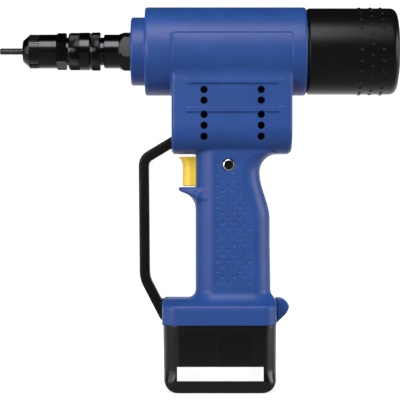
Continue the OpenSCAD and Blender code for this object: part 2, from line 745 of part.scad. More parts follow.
// The guard's edge on one side of its centre line, with its bends rounded
function guard_edge(off) = let (p = guard_line,
    q = [for (i = [1:2]) p[i] + off * mitre(p[i - 1], p[i], p[i + 1])],
    in1 = unit(p[0] - p[1]), out1 = unit(p[2] - p[1]), in2 = unit(p[1] - p[2]), out2 = unit(p[3] - p[2]))
    concat([[p[0][0], p[0][1] - off / abs(in1[0])]],
        [for (t = [0:0.25:1]) bend(q[0] + guard_bend_r * in1, q[0], q[0] + guard_bend_r * out1, t)],
        [for (t = [0:0.25:1]) bend(q[1] + guard_bend_r * in2, q[1], q[1] + guard_bend_r * out2, t)],
        [[p[3][0], p[3][1] + off / abs(out2[0])]]);
function bend(a, b, c, t) = (1 - t) * (1 - t) * a + 2 * t * (1 - t) * b + t * t * c;
function reverse(list) = [for (i = [len(list) - 1:-1:0]) list[i]];
module hand_guard() color(black) {
    top_z = block_z + wall + 1;
    difference() {
        union() {
            slab_y(concat(guard_edge(-guard_t / 2), reverse(guard_edge(guard_t / 2))), -guard_y, guard_y);
            translate([block_x0 - 1, -guard_y, top_z]) cube([guard_tab_len + 1, guard_w, guard_tab_h]);
            translate([flange_x0 - 1, -guard_y, guard_low[1] - guard_tab_h / 2])
                cube([guard_tab_len + 1, guard_w, guard_tab_h]);
        }
        for (i = [6, 7]) rod_y(screw_places[i][0], screw_places[i][1], -guard_w, guard_w, screw_shank_r + fit);
    }
}

// Nose
module steel_head() color(steel_black) {
    difference() {
        union() {
            turned([[neck_meet_x + 0.5, 0], [neck_meet_x + 0.5, neck_r - 0.5], [neck_meet_x + 1, neck_r], [head_round_x, neck_r],
                [head_round_x, head_round_r - 0.6], [head_round_x + 0.6, head_round_r], [head_cone_x, head_round_r],
                [head_hex_x, head_hex_r], [head_hex_x, 0]]);
            intersection() {
                rod_x(head_cone_x, collar_x0 + 1, head_hex_r);
                turned([[head_cone_x, 0], [head_cone_x, head_round_r], [head_hex_x, head_hex_r],
                    [collar_x0 + 1, head_hex_r], [collar_x0 + 1, 0]]);
                along_x(head_cone_x, axis_z) rotate(head_hex_turn)
                    cylinder(r = 0.905 * head_hex_r / cos(30), h = far, $fn = 6);
            }
            rod_x(collar_x0 + 0.5, spigot_x1, spigot_r - fit);
        }
        rod_x(neck_meet_x - 1, spigot_x1 + 1, screw_bore_r);
    }
}
module lock_ring() color(steel_black) {
    turned([[ring_x0, neck_r + run], [ring_x1, neck_r + run], [ring_x1, ring_r - 0.9], [ring_x1 - 0.9, ring_r],
        [ring_x0 + 0.6, ring_r], [ring_x0, ring_r - 0.6]]);
}
module knurled_sleeve() color(steel_black) {
    turned([[sleeve_x0, neck_r + run], [sleeve_x1, neck_r + run], [sleeve_x1, sleeve_r - 0.5], [sleeve_x1 - 0.5, sleeve_r],
        [sleeve_x0 + 0.7, sleeve_r], [sleeve_x0, sleeve_r - 0.7]]);
}
module lock_nut() color(steel_black) {
    difference() {
        intersection() {
            along_x(nut_x0, axis_z) rotate(nut_turn) cylinder(r = lock_nut_af / 2 / cos(30), h = lock_nut_len, $fn = 6);
            turned([[nut_x0, 0], [nut_x0, lock_nut_af / 2 + 0.9], [nut_x0 + 0.8, lock_nut_af / 2 + 2], [nut_x1 - 0.8, lock_nut_af / 2 + 2],
                [nut_x1, lock_nut_af / 2 + 0.9], [nut_x1, 0]]);
        }
        rod_x(nut_x0 - 1, nut_x1 + 1, neck_r + run);
    }
}
module nosepiece() color(steel_black) {
    flute = [for (i = [0:nose_flutes - 1]) each [for (k = [0:3])
        let (a = 360 * (i + k / 4) / nose_flutes, r = nose_r - (k == 2 ? 0.5 : k == 0 ? 0.05 : 0.15)) [r * cos(a), r * sin(a)]]];
    difference() {
        union() {
            turned([[nose_x0, 0], [nose_x0, nose_tip_r], [nose_flute_x, nose_r - 0.6], [nose_flute_x, 0]]);
            along_x(nose_flute_x - eps, axis_z) linear_extrude(nose_flute_len + 2 * eps) polygon(flute);
            rod_x(nose_plain_x, nut_x0 - run, nose_r);
            rod_x(nut_x0 - run - eps, neck_meet_x - 0.5, neck_r);
        }
        rod_x(nose_x0 - 1, nut_x0, shank_r + run);
        rod_x(holder_x0 - 2 * keeper_len - 4, neck_meet_x, holder_r + 0.8);
    }
}

// Mandrel line
module threaded_mandrel() color(steel_black) {
    turned([[mandrel_x0, 0], [mandrel_x0, mandrel_r - 0.7], [mandrel_x0 + 0.7, mandrel_r], [shank_x0, mandrel_r],
        [shank_x0, shank_r], [holder_x0 + run, shank_r], [holder_x0 + run, mandrel_head_r], [holder_x0 + mandrel_head_len, mandrel_head_r], [holder_x0 + mandrel_head_len, 0]]);
}
module mandrel_holder() color(steel) {
    difference() {
        rod_x(holder_x0, holder_x1, holder_r);
        rod_x(holder_x0 - 1, holder_x0 + mandrel_head_len + run, mandrel_head_r + run);
        rod_x(holder_x1 - stub_len - 1, holder_x1 + 1, stub_r + run);
    }
}
module retaining_ring() color(steel) {
    tube_x(holder_x0 - run - keeper_len, holder_x0 - run, shank_r + run, holder_r);
}
module ball_screw() color(steel) {
    difference() {
        union() {
            rod_x(screw_x0, screw_x1, screw_r);
            rod_x(screw_x0 - fit - stub_len, screw_x0 + eps, stub_r);
        }
        rod_y(pin_x, axis_z, -far, far, pin_r + run / 2);
    }
}
module anti_turn_pin() color(steel) {
    rod_y(pin_x, axis_z, -guide_ro + 0.5, guide_ro - 0.5, pin_r);
}

// Thrust bearing, ball nut and its bearing
module thrust_plate() color(alu) {
    tube_x(thrust_plate_x0, thrust_plate_x0 + thrust_plate_len, screw_bore_r, bore_r - fit);
}
module thrust_washer_fixed() color(steel) {
    tube_x(washer_fixed_x0, washer_fixed_x0 + washer_len, washer_ri, washer_ro);
}
module thrust_roller_cage() color(brass) {
    rollers = 20;
    difference() {
        tube_x(cage_x0 + 0.3, cage_x0 + cage_len - 0.3, washer_ri + 0.3, washer_ro - 0.3);
        for (i = [0:rollers - 1]) along_x(cage_x0, axis_z) rotate(360 * i / rollers)
            translate([washer_ri + 1, -cage_len / 2 - 0.05, -1]) cube([washer_ro - washer_ri - 2, cage_len + 0.1, far]);
    }
    for (i = [0:rollers - 1]) along_x(cage_x0 + cage_len / 2, axis_z) rotate([0, 90, 360 * i / rollers])
        translate([0, 0, washer_ri + 1.15]) cylinder(r = cage_len / 2, h = washer_ro - washer_ri - 2.3, $fn = 24);
}
module thrust_washer_turning() color(steel) {
    tube_x(washer_turn_x0, washer_turn_x0 + washer_len, washer_ri, washer_ro);
}
module ball_nut() color(steel) {
    turned([[nut_flange_x0, screw_r + run], [ball_nut_x1, screw_r + run], [ball_nut_x1, ball_nut_r],
        [nut_flange_x0 + nut_flange_len, ball_nut_r], [nut_flange_x0 + nut_flange_len, nut_flange_r], [nut_flange_x0, nut_flange_r]]);
}
module drive_gear() color(steel) {
    hole_in = ball_nut_r + hub_rim;
    hole_out = drive_pr - tooth_ded * gear_m - hub_rim;
    difference() {
        along_x(gear_x0, axis_z) spur_gear(gear_m, drive_z, gear_w);
        rod_x(gear_x0 - 1, gear_x1 + 1, ball_nut_r + run);
        for (i = [0:5]) along_x(gear_x0 - 1, axis_z) rotate(60 * i + 30)
            translate([(hole_in + hole_out) / 2, 0, 0]) cylinder(r = (hole_out - hole_in) / 2, h = gear_w + 2, $fn = 32);
    }
}
module race(ri, ro) {
    difference() {
        tube_x(plate_x0, plate_x1, ri, ro);
        along_x((plate_x0 + plate_x1) / 2, axis_z) rotate_extrude($fn = round_fn)
            translate([bearing_mid, 0]) circle(r = race_r, $fn = 32);
    }
}
module bearing_inner_ring() color(steel) { race(bearing_ri, bearing_mid - 0.9); }
module bearing_outer_ring() color(steel) { race(bearing_mid + 0.9, bearing_ro); }
module bearing_ball_cage() color(brass) {
    tube_x(plate_x0 + 0.6, plate_x1 - 0.6, bearing_mid - 0.6, bearing_mid + 0.6);
    for (i = [0:bearing_balls - 1]) along_x((plate_x0 + plate_x1) / 2, axis_z) rotate(360 * i / bearing_balls)
        translate([bearing_mid, 0, 0]) sphere(r = bearing_ball_r, $fn = 32);
}

// Gear frame and gears
module frame_outline() {
    circle(r = bore_r - fit, $fn = round_fn);
    translate([-plate_y, motor_z - plate_foot - axis_z]) square([2 * plate_y, axis_z - motor_z + plate_foot]);
}
module gear_cover() color(alu) {
    difference() {
        along_x(cover_x0, axis_z) linear_extrude(cover_len) frame_outline();
        rod_x(cover_x0 - 1, gear_x0, nut_flange_r + 1);
        rod_x(cover_x0 - 1, gear_x0, idler_axle_r + 0.05, idler_z0);
        for (p = posts) along_x(cover_x0 - 1, p[1]) translate([p[0], 0, 0]) cylinder(r = post_r - 1 + 0.05, h = cover_len + 2, $fn = 32);
    }
}
module gear_plate() color(alu) {
    difference() {
        along_x(plate_x0, axis_z) linear_extrude(plate_len) frame_outline();
        rod_x(plate_x0 - 1, plate_x1 + 1, bearing_ro + 0.05);
        rod_x(plate_x0 - 1, plate_x1 + 1, idler_axle_r + 0.05, idler_z0);
        rod_x(plate_x0 - 1, plate_x1 + 1, shaft_r + run, motor_z);
        for (p = posts) along_x(plate_x0 - 1, p[1]) translate([p[0], 0, 0]) cylinder(r = post_r - 1 + 0.05, h = plate_len + 2, $fn = 32);
    }
}
module gear_posts() color(steel) {
    for (p = posts) {
        along_x(cover_x0 + cover_len, p[1]) translate([p[0], 0, 0]) cylinder(r = post_r, h = plate_x0 - cover_x0 - cover_len, $fn = 32);
        along_x(cover_x0 + 0.2, p[1]) translate([p[0], 0, 0]) cylinder(r = post_r - 1, h = plate_x1 - cover_x0 - 0.4, $fn = 32);
    }
}
module idler_gear() color(steel) {
    difference() {
        along_x(gear_x0, idler_z0) spur_gear(gear_m, idler_z, gear_w);
        rod_x(gear_x0 - 1, gear_x1 + 1, idler_bore_r, idler_z0);
    }
}
module idler_axle() color(steel) {
    rod_x(cover_x0 + 0.2, plate_x1 - 0.2, idler_axle_r, idler_z0);
}
module pinion_carrier() color(steel) {
    along_x(gear_x0, motor_z) spur_gear(gear_m, pinion_z, gear_w);
    rod_x(gear_x1 - eps, carrier_x0 + eps, shaft_r, motor_z);
    rod_x(carrier_x0, carrier_x0 + carrier_len, orbit_r + planet_pin_r + 1.2, motor_z);
    for (i = [0:2]) along_x(carrier_x0, motor_z) rotate(120 * i) translate([orbit_r, 0, 0])
        cylinder(r = planet_pin_r, h = carrier_len + planet_len + 1.4, $fn = 32);
}
module planet_gear(i) color(steel) {
    along_x(planet_x0, motor_z) rotate(120 * i) translate([orbit_r, 0, 0]) rotate(15 - 120 * i) difference() {
        spur_gear(planet_m, sun_z, planet_len);
        translate([0, 0, -1]) cylinder(r = planet_pin_r + run / 2, h = planet_len + 2, $fn = 32);
    }
}
module sun_gear() color(steel) {
    difference() {
        along_x(planet_x0, motor_z) spur_gear(planet_m, sun_z, motor_x0 - planet_x0 - 0.5);
        rod_x(planet_x0 - 1, motor_x0, sun_bore_r + 0.05, motor_z);
    }
}
sun_bore_r = 2;
module ring_gear() color(alu) {
    difference() {
        rod_x(plate_x1 + run, ring_gear_x1, motor_r, motor_z);
        rod_x(plate_x1, planet_x0 - 0.3, ring_pr - 0.5, motor_z);
        along_x(planet_x0 - 0.4, motor_z) rotate(180 / ring_z)
            linear_extrude(planet_len + 0.8) polygon(gear_outline(planet_m, ring_z, tooth_ded, tooth_add, 2 - slim));
        rod_x(planet_x0 + planet_len + 0.2, ring_gear_x1 + 1, ring_pr - 0.5, motor_z);
    }
}
module motor_can() color(steel) {
    difference() {
        rod_x(motor_x0, motor_x1, motor_r, motor_z);
        rod_x(motor_x0 + motor_wall, motor_x1 + 1, motor_r - motor_wall, motor_z);
        rod_x(motor_x0 - 1, motor_x0 + motor_wall + 1, sun_bore_r + run, motor_z);
        for (i = [0:5]) along_x(motor_x0 - 1, motor_z) rotate(60 * i) translate([motor_r * 0.58, 0, 0])
            cylinder(r = 2.5, h = motor_wall + 2, $fn = 24);
    }
    for (side = [0, 180]) along_x(motor_x0 + motor_wall, motor_z) rotate(side) intersection() {
        difference() {
            cylinder(r = motor_r - motor_wall + eps, h = motor_x1 - motor_x0 - motor_wall - 6, $fn = 64);
            translate([0, 0, -1]) cylinder(r = armature_r + 0.6, h = far, $fn = 64);
        }
        translate([armature_r * 0.5, -motor_r, 0]) cube([motor_r, 2 * motor_r, far]);
    }
}
module motor_end_bell() color(black) {
    difference() {
        union() {
            rod_x(motor_x1 + run, motor_x1 + bell_len, motor_r, motor_z);
            rod_x(motor_x1 - 3, motor_x1 + run + eps, motor_r - motor_wall - run, motor_z);
        }
        rod_x(motor_x1 - 4, motor_x1 + bell_len - 1, sun_bore_r + run, motor_z);
        for (side = [-1, 1]) along_x(motor_x1 - 4, motor_z) translate([0, side * motor_r * 0.55, 0])
            cylinder(r = 2.6, h = far, $fn = 24);
    }
}
module motor_armature() color(copper) {
    rod_x(planet_x0 + 0.3, motor_x1 + bell_len - 1.5, sun_bore_r, motor_z);
    rod_x(motor_x0 + motor_wall + 4, motor_x1 - 9, armature_r, motor_z);
    rod_x(motor_x1 - 9 - eps, motor_x1 - 4, armature_r * 0.5, motor_z);
}

// Rear of the barrel
module guide_tube() color(steel) {
    slot_y = 2 * (pin_r + 0.2);
    difference() {
        tube_x(guide_x0, guide_x1, guide_ri, guide_ro);
        translate([pin_x - slot_y / 2, -guide_ro - 1, axis_z - slot_y / 2]) cube([stroke + slot_y, 2 * guide_ro + 2, slot_y]);
    }
}
module rear_flange() color(alu) {
    difference() {
        union() {
            rod_x(rear_flange_x0, barrel_x1 + eps, bore_r - fit);
            rod_x(barrel_x1, barrel_x1 + rear_boss_len, rear_boss_r);
        }
        rod_x(rear_flange_x0 - 1, far, adjuster_r + run);
        rod_x(barrel_x1 + 2, far, rear_boss_r - 4);
    }
    tube_x(guide_x1 - 8, rear_flange_x0 + eps, guide_ro + run, guide_ro + 3);
}
module stroke_adjuster() color(steel_black) {
    turned([[adjuster_front_x, 0], [adjuster_front_x, adjuster_r - 1], [adjuster_front_x + 1, adjuster_r],
        [adjuster_head_x, adjuster_r], [adjuster_head_x, adjuster_head_r], [adjuster_head_x + adjuster_head_len - 1, adjuster_head_r],
        [adjuster_head_x + adjuster_head_len, adjuster_head_r - 1], [adjuster_head_x + adjuster_head_len, 0]]);
}
module rear_cap() color(black) {
    end_x = cap_x1 - cap_dome;
    outline = concat([[cap_x0, cap_r - 2.2], [cap_x0 + 2.5, cap_r]], [for (p = arc(end_x - cap_edge_r, cap_r - cap_edge_r, cap_edge_r, 90, 20, 5)) p],
        [for (t = [0.75, 0.5, 0.25, 0]) [cap_x1 - cap_dome * t * t, (cap_r - cap_edge_r) * t]]);
    difference() {
        turned(concat([[cap_x0, 0]], outline));
        rod_x(cap_x0 - 1, end_x - cap_edge_r - 1, cap_r - cap_wall);
        turned([[end_x - cap_edge_r - 2, 0], [end_x - cap_edge_r - 2, cap_r - cap_wall], [end_x - cap_wall, cap_r - cap_wall - cap_edge_r], [end_x - cap_wall, 0]]);
    }
}

// Trigger and switch
trigger_side = concat([[trigger_x1, trigger_z0], [trigger_x0 + 0.6, trigger_z0], [trigger_x0, trigger_z0 + 0.8]],
    [for (t = [0:15:75]) [trigger_x0 - trigger_lip * (1 - cos(t)) / (1 - cos(75)), trigger_z1 - 8.2 + 7.6 * sin(t) / sin(75)]],
    [[trigger_x0 - trigger_lip + 0.4, trigger_z1], [trigger_x1, trigger_z1]]);
module trigger() color(yellow) {
    r = trigger_w / 2 - 0.5;
    difference() {
        union() {
            intersection() {
                slab_y(trigger_side, -trigger_w / 2, trigger_w / 2);
                bar_z(round_rect(trigger_x0 - trigger_lip - 1, -trigger_w / 2, trigger_x1 + 8, trigger_w / 2, r), trigger_z0 - 1, trigger_z1 + 1);
            }
            rod_x(trigger_x1 - eps, trigger_x1 + 3.5, plunger_r, plunger_z);
        }
        rod_x(grip_x0 + 2, trigger_x1 + 1, 3.6, trigger_z0 + trigger_h - 7);
    }
}
module trigger_spring() color(steel) {
    along_x(grip_x0 + 2.1, trigger_z0 + trigger_h - 7) coil(2.6, 0.4, switch_x0 - grip_x0 - 2.3, 6);
}
module switch_body() color(black) {
    difference() {
        translate([switch_x0, -switch_w / 2, switch_z0]) cube([switch_len, switch_w, switch_h]);
        rod_x(switch_x0 - 1, switch_x0 + trigger_travel + 2, plunger_r + fit, plunger_z);
    }
    translate([switch_x0, -5, switch_z0 + switch_h - eps]) cube([3, 10, trigger_z1 - switch_z0 - switch_h]);
}
module control_board() color([0.1, 0.32, 0.18]) {
    x0 = cavity_x0 + 2 * fit;
    x1 = cavity_x1 - 2 * fit;
    translate([x0, board_y, board_z0]) cube([x1 - x0, board_t, board_z1 - board_z0]);
    for (i = [0:3]) translate([x0 + 6 + 6 * i, board_y + board_t - eps, board_z0 + 3]) cube([4, 2, 6]);
    rod_y(x0 + 10, board_z1 - 6, board_y + board_t - eps, board_y + board_t + 8, 4);
    translate([x0 + 18, board_y + board_t - eps, board_z1 - 9]) cube([9, 1.6, 7]);
}
module terminal_block() color(black) {
    difference() {
        bar_z(round_rect(cavity_x0 + fit, -cavity_y + fit, cavity_x1 - fit, cavity_y - fit, cavity_corner_r - fit), terminal_z0, terminal_z0 + terminal_h);
        for (x = blades) translate([x - blade_len / 2 - 0.05, -blade_t / 2 - 0.05, terminal_z0 - 1]) cube([blade_len + 0.1, blade_t + 0.1, far]);
    }
}
module terminal_blades() color(brass) {
    for (x = blades) translate([x - blade_len / 2 + 1, -blade_t / 2, terminal_z0 - blade_w]) cube([blade_len - 2, blade_t, blade_w + terminal_h + blade_out]);
}
module battery_leads() color([0.6, 0.06, 0.05]) {
    for (side = [-1, 1]) lead([[lead_x, side * 7, terminal_z1], [lead_x, side * 7, terminal_z1 + 6], [lead_x + 3, side * 8, terminal_z1 + 14],
        [lead_x + 3, side * 8.5, board_z0], [lead_x + 3, side * 8.5, board_z1], [lead_x, side * 8, switch_z0 - 8], [lead_x - 2, side * 6, switch_z0 - 3], [lead_x - 2, side * 6, switch_z0]]);
}
module motor_leads() color([0.5, 0.05, 0.05]) {
    back_x = switch_x0 + switch_len;
    for (side = [-1, 1]) lead([[back_x - 4, side * 6, switch_z0 + switch_h], [back_x - 4, side * 6, switch_z0 + switch_h + 4], [back_x - 3, side * 8, block_z - 4],
        [back_x, side * 11, block_z + 5], [back_x + 6, side * 20, block_z + 9], [motor_x1 - 2, side * 21.5, motor_z - 6], [motor_x1 + 3, side * 20, motor_z], [motor_x1 + 3, side * motor_r, motor_z]]);
}

// Latch
module battery_latch() color(blue) {
    pad = concat([[flange_x1 + 0.4, latch_z1], [flange_x1 + latch_out - latch_r, latch_z1]],
        arc(flange_x1 + latch_out - latch_r, latch_z1 - latch_r, latch_r, 75, -35, 6), [[flange_x1 + 0.4, latch_z0]]);
    arm = [[flange_x1 + 0.5, latch_pin_z + latch_arm - 0.6], [latch_arm_x0 + latch_arm + 0.2, latch_pin_z + 1.5],
        [latch_arm_x0, latch_pin_z - latch_arm], [latch_arm_x0, latch_hook_z], [latch_arm_x0 + latch_arm - 1, latch_hook_z],
        [latch_arm_x0 + latch_arm, latch_z0 + 5], [flange_x1 + 0.5, latch_z0 + 7]];
    difference() {
        union() {
            slab_y(reverse(pad), -latch_w / 2, latch_w / 2);
            slab_y(arm, -latch_w / 2, latch_w / 2);
        }
        rod_y(latch_pin_x, latch_pin_z, -latch_w, latch_w, latch_pin_r + run);
    }
}
module latch_pin() color(steel) {
    rod_y(latch_pin_x, latch_pin_z, -latch_w / 2 - latch_pin_seat, latch_w / 2 + latch_pin_seat, latch_pin_r);
}
module latch_spring() color(steel) {
    along_x(latch_spring_x0, latch_spring_z) coil(latch_spring_r, 0.4, latch_arm_x0 - latch_spring_x0 - 0.2, 3);
}

// Battery pack
function battery_ring(z, inset) = let (lean = battery_taper * (1 - z / battery_h))
    [for (p = round_rect(battery_x0 + lean + inset, -battery_y + inset, battery_x1 - lean - inset, battery_y - inset,
        battery_corner_r - inset)) [p[0], p[1], z]];
module battery_case() color(black) {
    difference() {
        loft(concat([for (a = [0:22.5:90]) battery_ring(battery_foot_r * (1 - cos(a)), battery_foot_r * (1 - sin(a)))], [battery_ring(battery_h, 0)]));
        bar_z(round_rect(battery_x0 + battery_wall + battery_taper, -battery_y + battery_wall, battery_x1 - battery_wall - battery_taper, battery_y - battery_wall,
            battery_corner_r - battery_wall), battery_wall, battery_h + 1);
    }
}
module battery_lid() color(black) {
    inset = battery_wall + battery_taper + 0.1;
    slot = blade_len + 2 * blade_gap;
    difference() {
        union() {
            bar_z(round_rect(battery_x0 + inset, -battery_y + battery_wall + 0.1, battery_x1 - inset, battery_y - battery_wall - 0.1,
                battery_corner_r - battery_wall - 0.1), lid_z0, battery_h);
            bar_z(round_rect(tower_x0, -tower_w / 2, tower_x1, tower_w / 2, 4), battery_h - 1, tower_z1);
        }
        bar_z(round_rect(tower_x0 + 2, -tower_w / 2 + 2, tower_x1 - 2, tower_w / 2 - 2, 2), lid_z0 - 1, tower_z1 - 12);
        for (x = blades) translate([x - slot / 2, -blade_t / 2 - blade_gap, tower_z1 - 10]) cube([slot, blade_t + 2 * blade_gap, far]);
        translate([latch_arm_x0 - 3, -latch_w / 2 - 1, latch_hook_z - 2]) cube([far, latch_w + 2, far]);
    }
}
module battery_cells() color([0.2, 0.45, 0.3]) {
    for (y = [-1, 1]) for (row = [0, 1])
        rod_cell(flange_mid_x - cell_len / 2, y * (cell_r + cell_gap / 2), cell_floor + cell_r + row * (cell_d + cell_gap));
}
module rod_cell(x, y, z) {
    translate([x, y, z]) rotate([0, 90, 0]) {
        cylinder(r = cell_r, h = cell_len - 1.5, $fn = 64);
        cylinder(r = 3, h = cell_len, $fn = 32);
    }
}
module battery_contacts() color(brass) {
    for (x = blades) for (side = [-1, 1])
        translate([x - blade_len / 2, side * (blade_t / 2 + blade_gap - 0.2) - 0.15, tower_z1 - 9.9]) cube([blade_len, 0.3, 9]);
}
label_x0 = battery_x0 + 10.5;
label_x1 = battery_x1 - 10.5;
label_z0 = 9.5;
label_h = 10.3;
module battery_label() color([0.95, 0.95, 0.94]) {
    slab_y(round_rect(label_x0, label_z0, label_x1, label_z0 + label_h, 1, 3), -battery_y - skin, -battery_y);
}

left_housing();
right_housing();
housing_screws();
handle_bolt();
hand_guard();
steel_head();
lock_ring();
knurled_sleeve();
lock_nut();
nosepiece();
threaded_mandrel();
mandrel_holder();
retaining_ring();
ball_screw();
anti_turn_pin();
ball_nut();
drive_gear();
bearing_inner_ring();
bearing_ball_cage();
bearing_outer_ring();
thrust_washer_turning();
thrust_roller_cage();
thrust_washer_fixed();
thrust_plate();
gear_cover();
gear_plate();
gear_posts();
idler_gear();
idler_axle();
pinion_carrier();
planet_gear(0);  // planet_gear_1
planet_gear(1);  // planet_gear_2
planet_gear(2);  // planet_gear_3
ring_gear();
motor_can();
motor_end_bell();
motor_armature();
sun_gear();
guide_tube();
rear_flange();
stroke_adjuster();
rear_cap();
trigger();
trigger_spring();
switch_body();
control_board();
terminal_block();
terminal_blades();
battery_leads();
motor_leads();
battery_latch();
latch_pin();
latch_spring();
battery_case();
battery_lid();
battery_cells();
battery_contacts();
battery_label();
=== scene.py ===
import math

import bmesh
import bpy
import numpy as np
import openvdb
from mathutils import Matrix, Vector


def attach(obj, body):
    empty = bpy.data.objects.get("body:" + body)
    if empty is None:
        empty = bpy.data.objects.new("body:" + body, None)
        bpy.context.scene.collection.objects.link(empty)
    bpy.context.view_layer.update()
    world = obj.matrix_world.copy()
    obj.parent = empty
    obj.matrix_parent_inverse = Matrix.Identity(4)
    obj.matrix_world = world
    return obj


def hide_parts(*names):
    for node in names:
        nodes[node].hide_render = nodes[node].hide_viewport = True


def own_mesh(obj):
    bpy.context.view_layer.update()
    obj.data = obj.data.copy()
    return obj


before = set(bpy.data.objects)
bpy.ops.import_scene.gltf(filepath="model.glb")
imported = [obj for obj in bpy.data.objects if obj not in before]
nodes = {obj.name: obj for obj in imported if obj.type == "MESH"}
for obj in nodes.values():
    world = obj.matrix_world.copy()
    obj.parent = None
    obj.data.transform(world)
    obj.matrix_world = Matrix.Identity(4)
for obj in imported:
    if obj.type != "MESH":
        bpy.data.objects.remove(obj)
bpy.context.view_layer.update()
scene = bpy.context.scene

# Housing: two halves moulded in blue glass-filled nylon with a fine spark-eroded texture.
# They meet on the tool's middle plane, hold the works of barrel, block and grip between them,
# and are drawn together by eight screws from the right and a bolt in the grip from the left.
MM = 0.001
AXIS_Z = 253.5
BARREL_R = 33.0
BORE_R = 30.0
COLLAR_R = 25.5
BLOCK_Y = 28.5
BLOCK_FLOOR_Z = 176.6
GRIP_Y = 19.5
GRIP_EDGE_R = 14.0
GRIP_FRONT_X = -3.3
DECK_Z = 69.0
DIMPLE_X = 13.0
DIMPLE_Z = 160.8
DIMPLE_PITCH_X = 4.03
DIMPLE_PITCH_Z = 3.97
DIMPLE_R = 1.1
DIMPLE_DEPTH = 0.6
VENT_R = 2.65
VENT_COLUMNS = (3.0, 45.0)
VENT_ROWS = (189.0, 197.0, 205.0, 215.4, 223.3)
VENT_PLACES = [(x, z) for x in VENT_COLUMNS for z in VENT_ROWS]
BOLT_X = 21.3
BOLT_Z = 168.0
BOLT_SEAT_Y = 16.3
BOLT_BOSS_R = 5.0
BOLT_POCKET_R = 4.8
PILLAR_R = 3.6
COUNTERBORE_R = 3.2
SEAM_CUT = 0.4
SEAM_CHAMFER = 0.35
SEAM_ROOM = 0.04
# Housing screws: place along the tool, height, seat of the head, inner end of the pillar
SCREW_PLACES = [
    (-24.7, 280.5, 11.06, 0.0),
    (-24.7, 226.5, 11.06, 0.0),
    (67.6, 280.5, 11.06, 0.0),
    (67.6, 226.5, 11.06, 0.0),
    (38.5, 138.0, 13.5, 0.0),
    (5.5, 104.2, 13.5, 0.0),
    (-22.6, 58.5, 26.0, 8.3),
    (-15.6, 184.2, 20.5, 8.3),
]
HOUSING_STEP = 0.6


def both(a, b, r):
    """Inside both shapes, their common edge rounded to r."""
    a = a + r
    b = b + r
    return np.minimum(np.maximum(a, b), 0) + np.hypot(np.maximum(a, 0), np.maximum(b, 0)) - r


def join(a, b, r):
    """Inside either shape, with a fillet of r where they meet."""
    return -both(-a, -b, r)


def cut(a, b, r):
    """Shape a with b taken out of it, the rim rounded to r."""
    return both(a, -b, r)


def bar(x, middle, half):
    """Distance outside a slab about a middle plane."""
    return np.abs(x - middle) - half


def ease(t):
    t = np.clip(t, 0, 1)
    return t * t * (3 - 2 * t)


def grip_back(z):
    """Rear line of the grip: thumb web at the top, palm swell below it."""
    web = 59.5 - 15 * np.sqrt(1 - (np.clip(z - 163, 0, 14) / 14) ** 2)
    palm = 52.6 - 0.5 * ease((z - 75) / 40) - 7.6 * ease((z - 128) / 35)
    return np.where(z > 163, web, palm)


def within(x, z, middle_x, half_x, middle_z, half_z, corner_r):
    """Distance outside a rounded rectangle in the side view."""
    past_x = np.maximum(bar(x, middle_x, half_x - corner_r), 0)
    past_z = np.maximum(bar(z, middle_z, half_z - corner_r), 0)
    return np.hypot(past_x, past_z) - corner_r


def ledge(x, z, low, top):
    """How far the block's flank stands out at a ledge and at the shingle that carries its top line on."""
    plate = 0.8 * np.clip(-within(x, z, 24.2, 34.3, (low + top) / 2, (top - low) / 2, 1.2) / 0.6, 0, 1)
    shingle = 0.16 * np.clip((top - z) / 0.5, 0, 1) * np.clip(1 - (top - z) / 4, 0, 1)
    return np.maximum(plate, shingle * np.clip(-bar(x, 23, 43.5) / 0.6, 0, 1))


def dimples(x, z):
    """Depth of the grip's pattern of small round pits."""
    row = np.rint((DIMPLE_Z - z) / DIMPLE_PITCH_Z)
    column = 2 * np.rint(((x - DIMPLE_X) / DIMPLE_PITCH_X - row % 2) / 2) + row % 2
    pit_x = DIMPLE_X + DIMPLE_PITCH_X * column
    away = np.hypot(x - pit_x, z - DIMPLE_Z + DIMPLE_PITCH_Z * row)
    on_grip = pit_x + 14.2 < grip_back(DIMPLE_Z - DIMPLE_PITCH_Z * row)
    in_field = (column >= 0) & (row >= 0) & (row <= 20) & on_grip
    by_bolt = (row == -2) & ((column == 0) | (column == 4))
    bowl = np.clip(1 - (away / DIMPLE_R) ** 2, 0, 1) ** 2
    return np.where(in_field | by_bolt, DIMPLE_DEPTH * bowl, 0)


def panel_border(x, z):
    """Distance outside the empty panel on the barrel."""
    return within(x, z, 24.2, 44.5, 250, 15.7, 2.0)


def near_relief(x, y, z):
    """Whether a point of the outside lies at a pit of the grip, the panel's border or a ledge."""
    v = np.abs(y)
    around = [dimples(x + shift_x, z + shift_z) for shift_x in (-0.6, 0, 0.6) for shift_z in (-0.6, 0, 0.6)]
    pits = (np.max(around, axis=0) > 0) & (v > 17)
    border = (np.abs(panel_border(x, z) + 0.45) < 1.2) & (v > 26) & (z > 234)
    lines = [np.abs(z - line) < 1.1 for line in (206.9, 210.7, 227.4, 230.7)]
    ledges = np.any(lines, axis=0) & (v > 27) & (bar(x, 23, 44.5) < 0)
    return pits | border | ledges


def barrel_form(x, v, z):
    round_about = np.hypot(v, z - AXIS_Z)
    sunk = 0.6 * np.clip(-panel_border(x, z) / 0.9, 0, 1)
    barrel = both(round_about - BARREL_R + sunk, bar(x, 19, 60), 1.6)
    collar = both(round_about - COLLAR_R, bar(x, -40, 11.5), 1.8)
    return join(barrel, collar, 0.6)


def block_form(x, v, z):
    lean = 0.07 * np.clip(z - 230, 0, 9)
    flank = v - BLOCK_Y + lean - ledge(x, z, 206.6, 211.0) - ledge(x, z, 227.1, 231.0)
    block = np.maximum(both(flank, BLOCK_FLOOR_Z - z, 20.0), z - 238)
    block = both(block, -21 - x, 2.5)
    return both(block, x - 68, 2.5 + ease((190 - z) / 12))


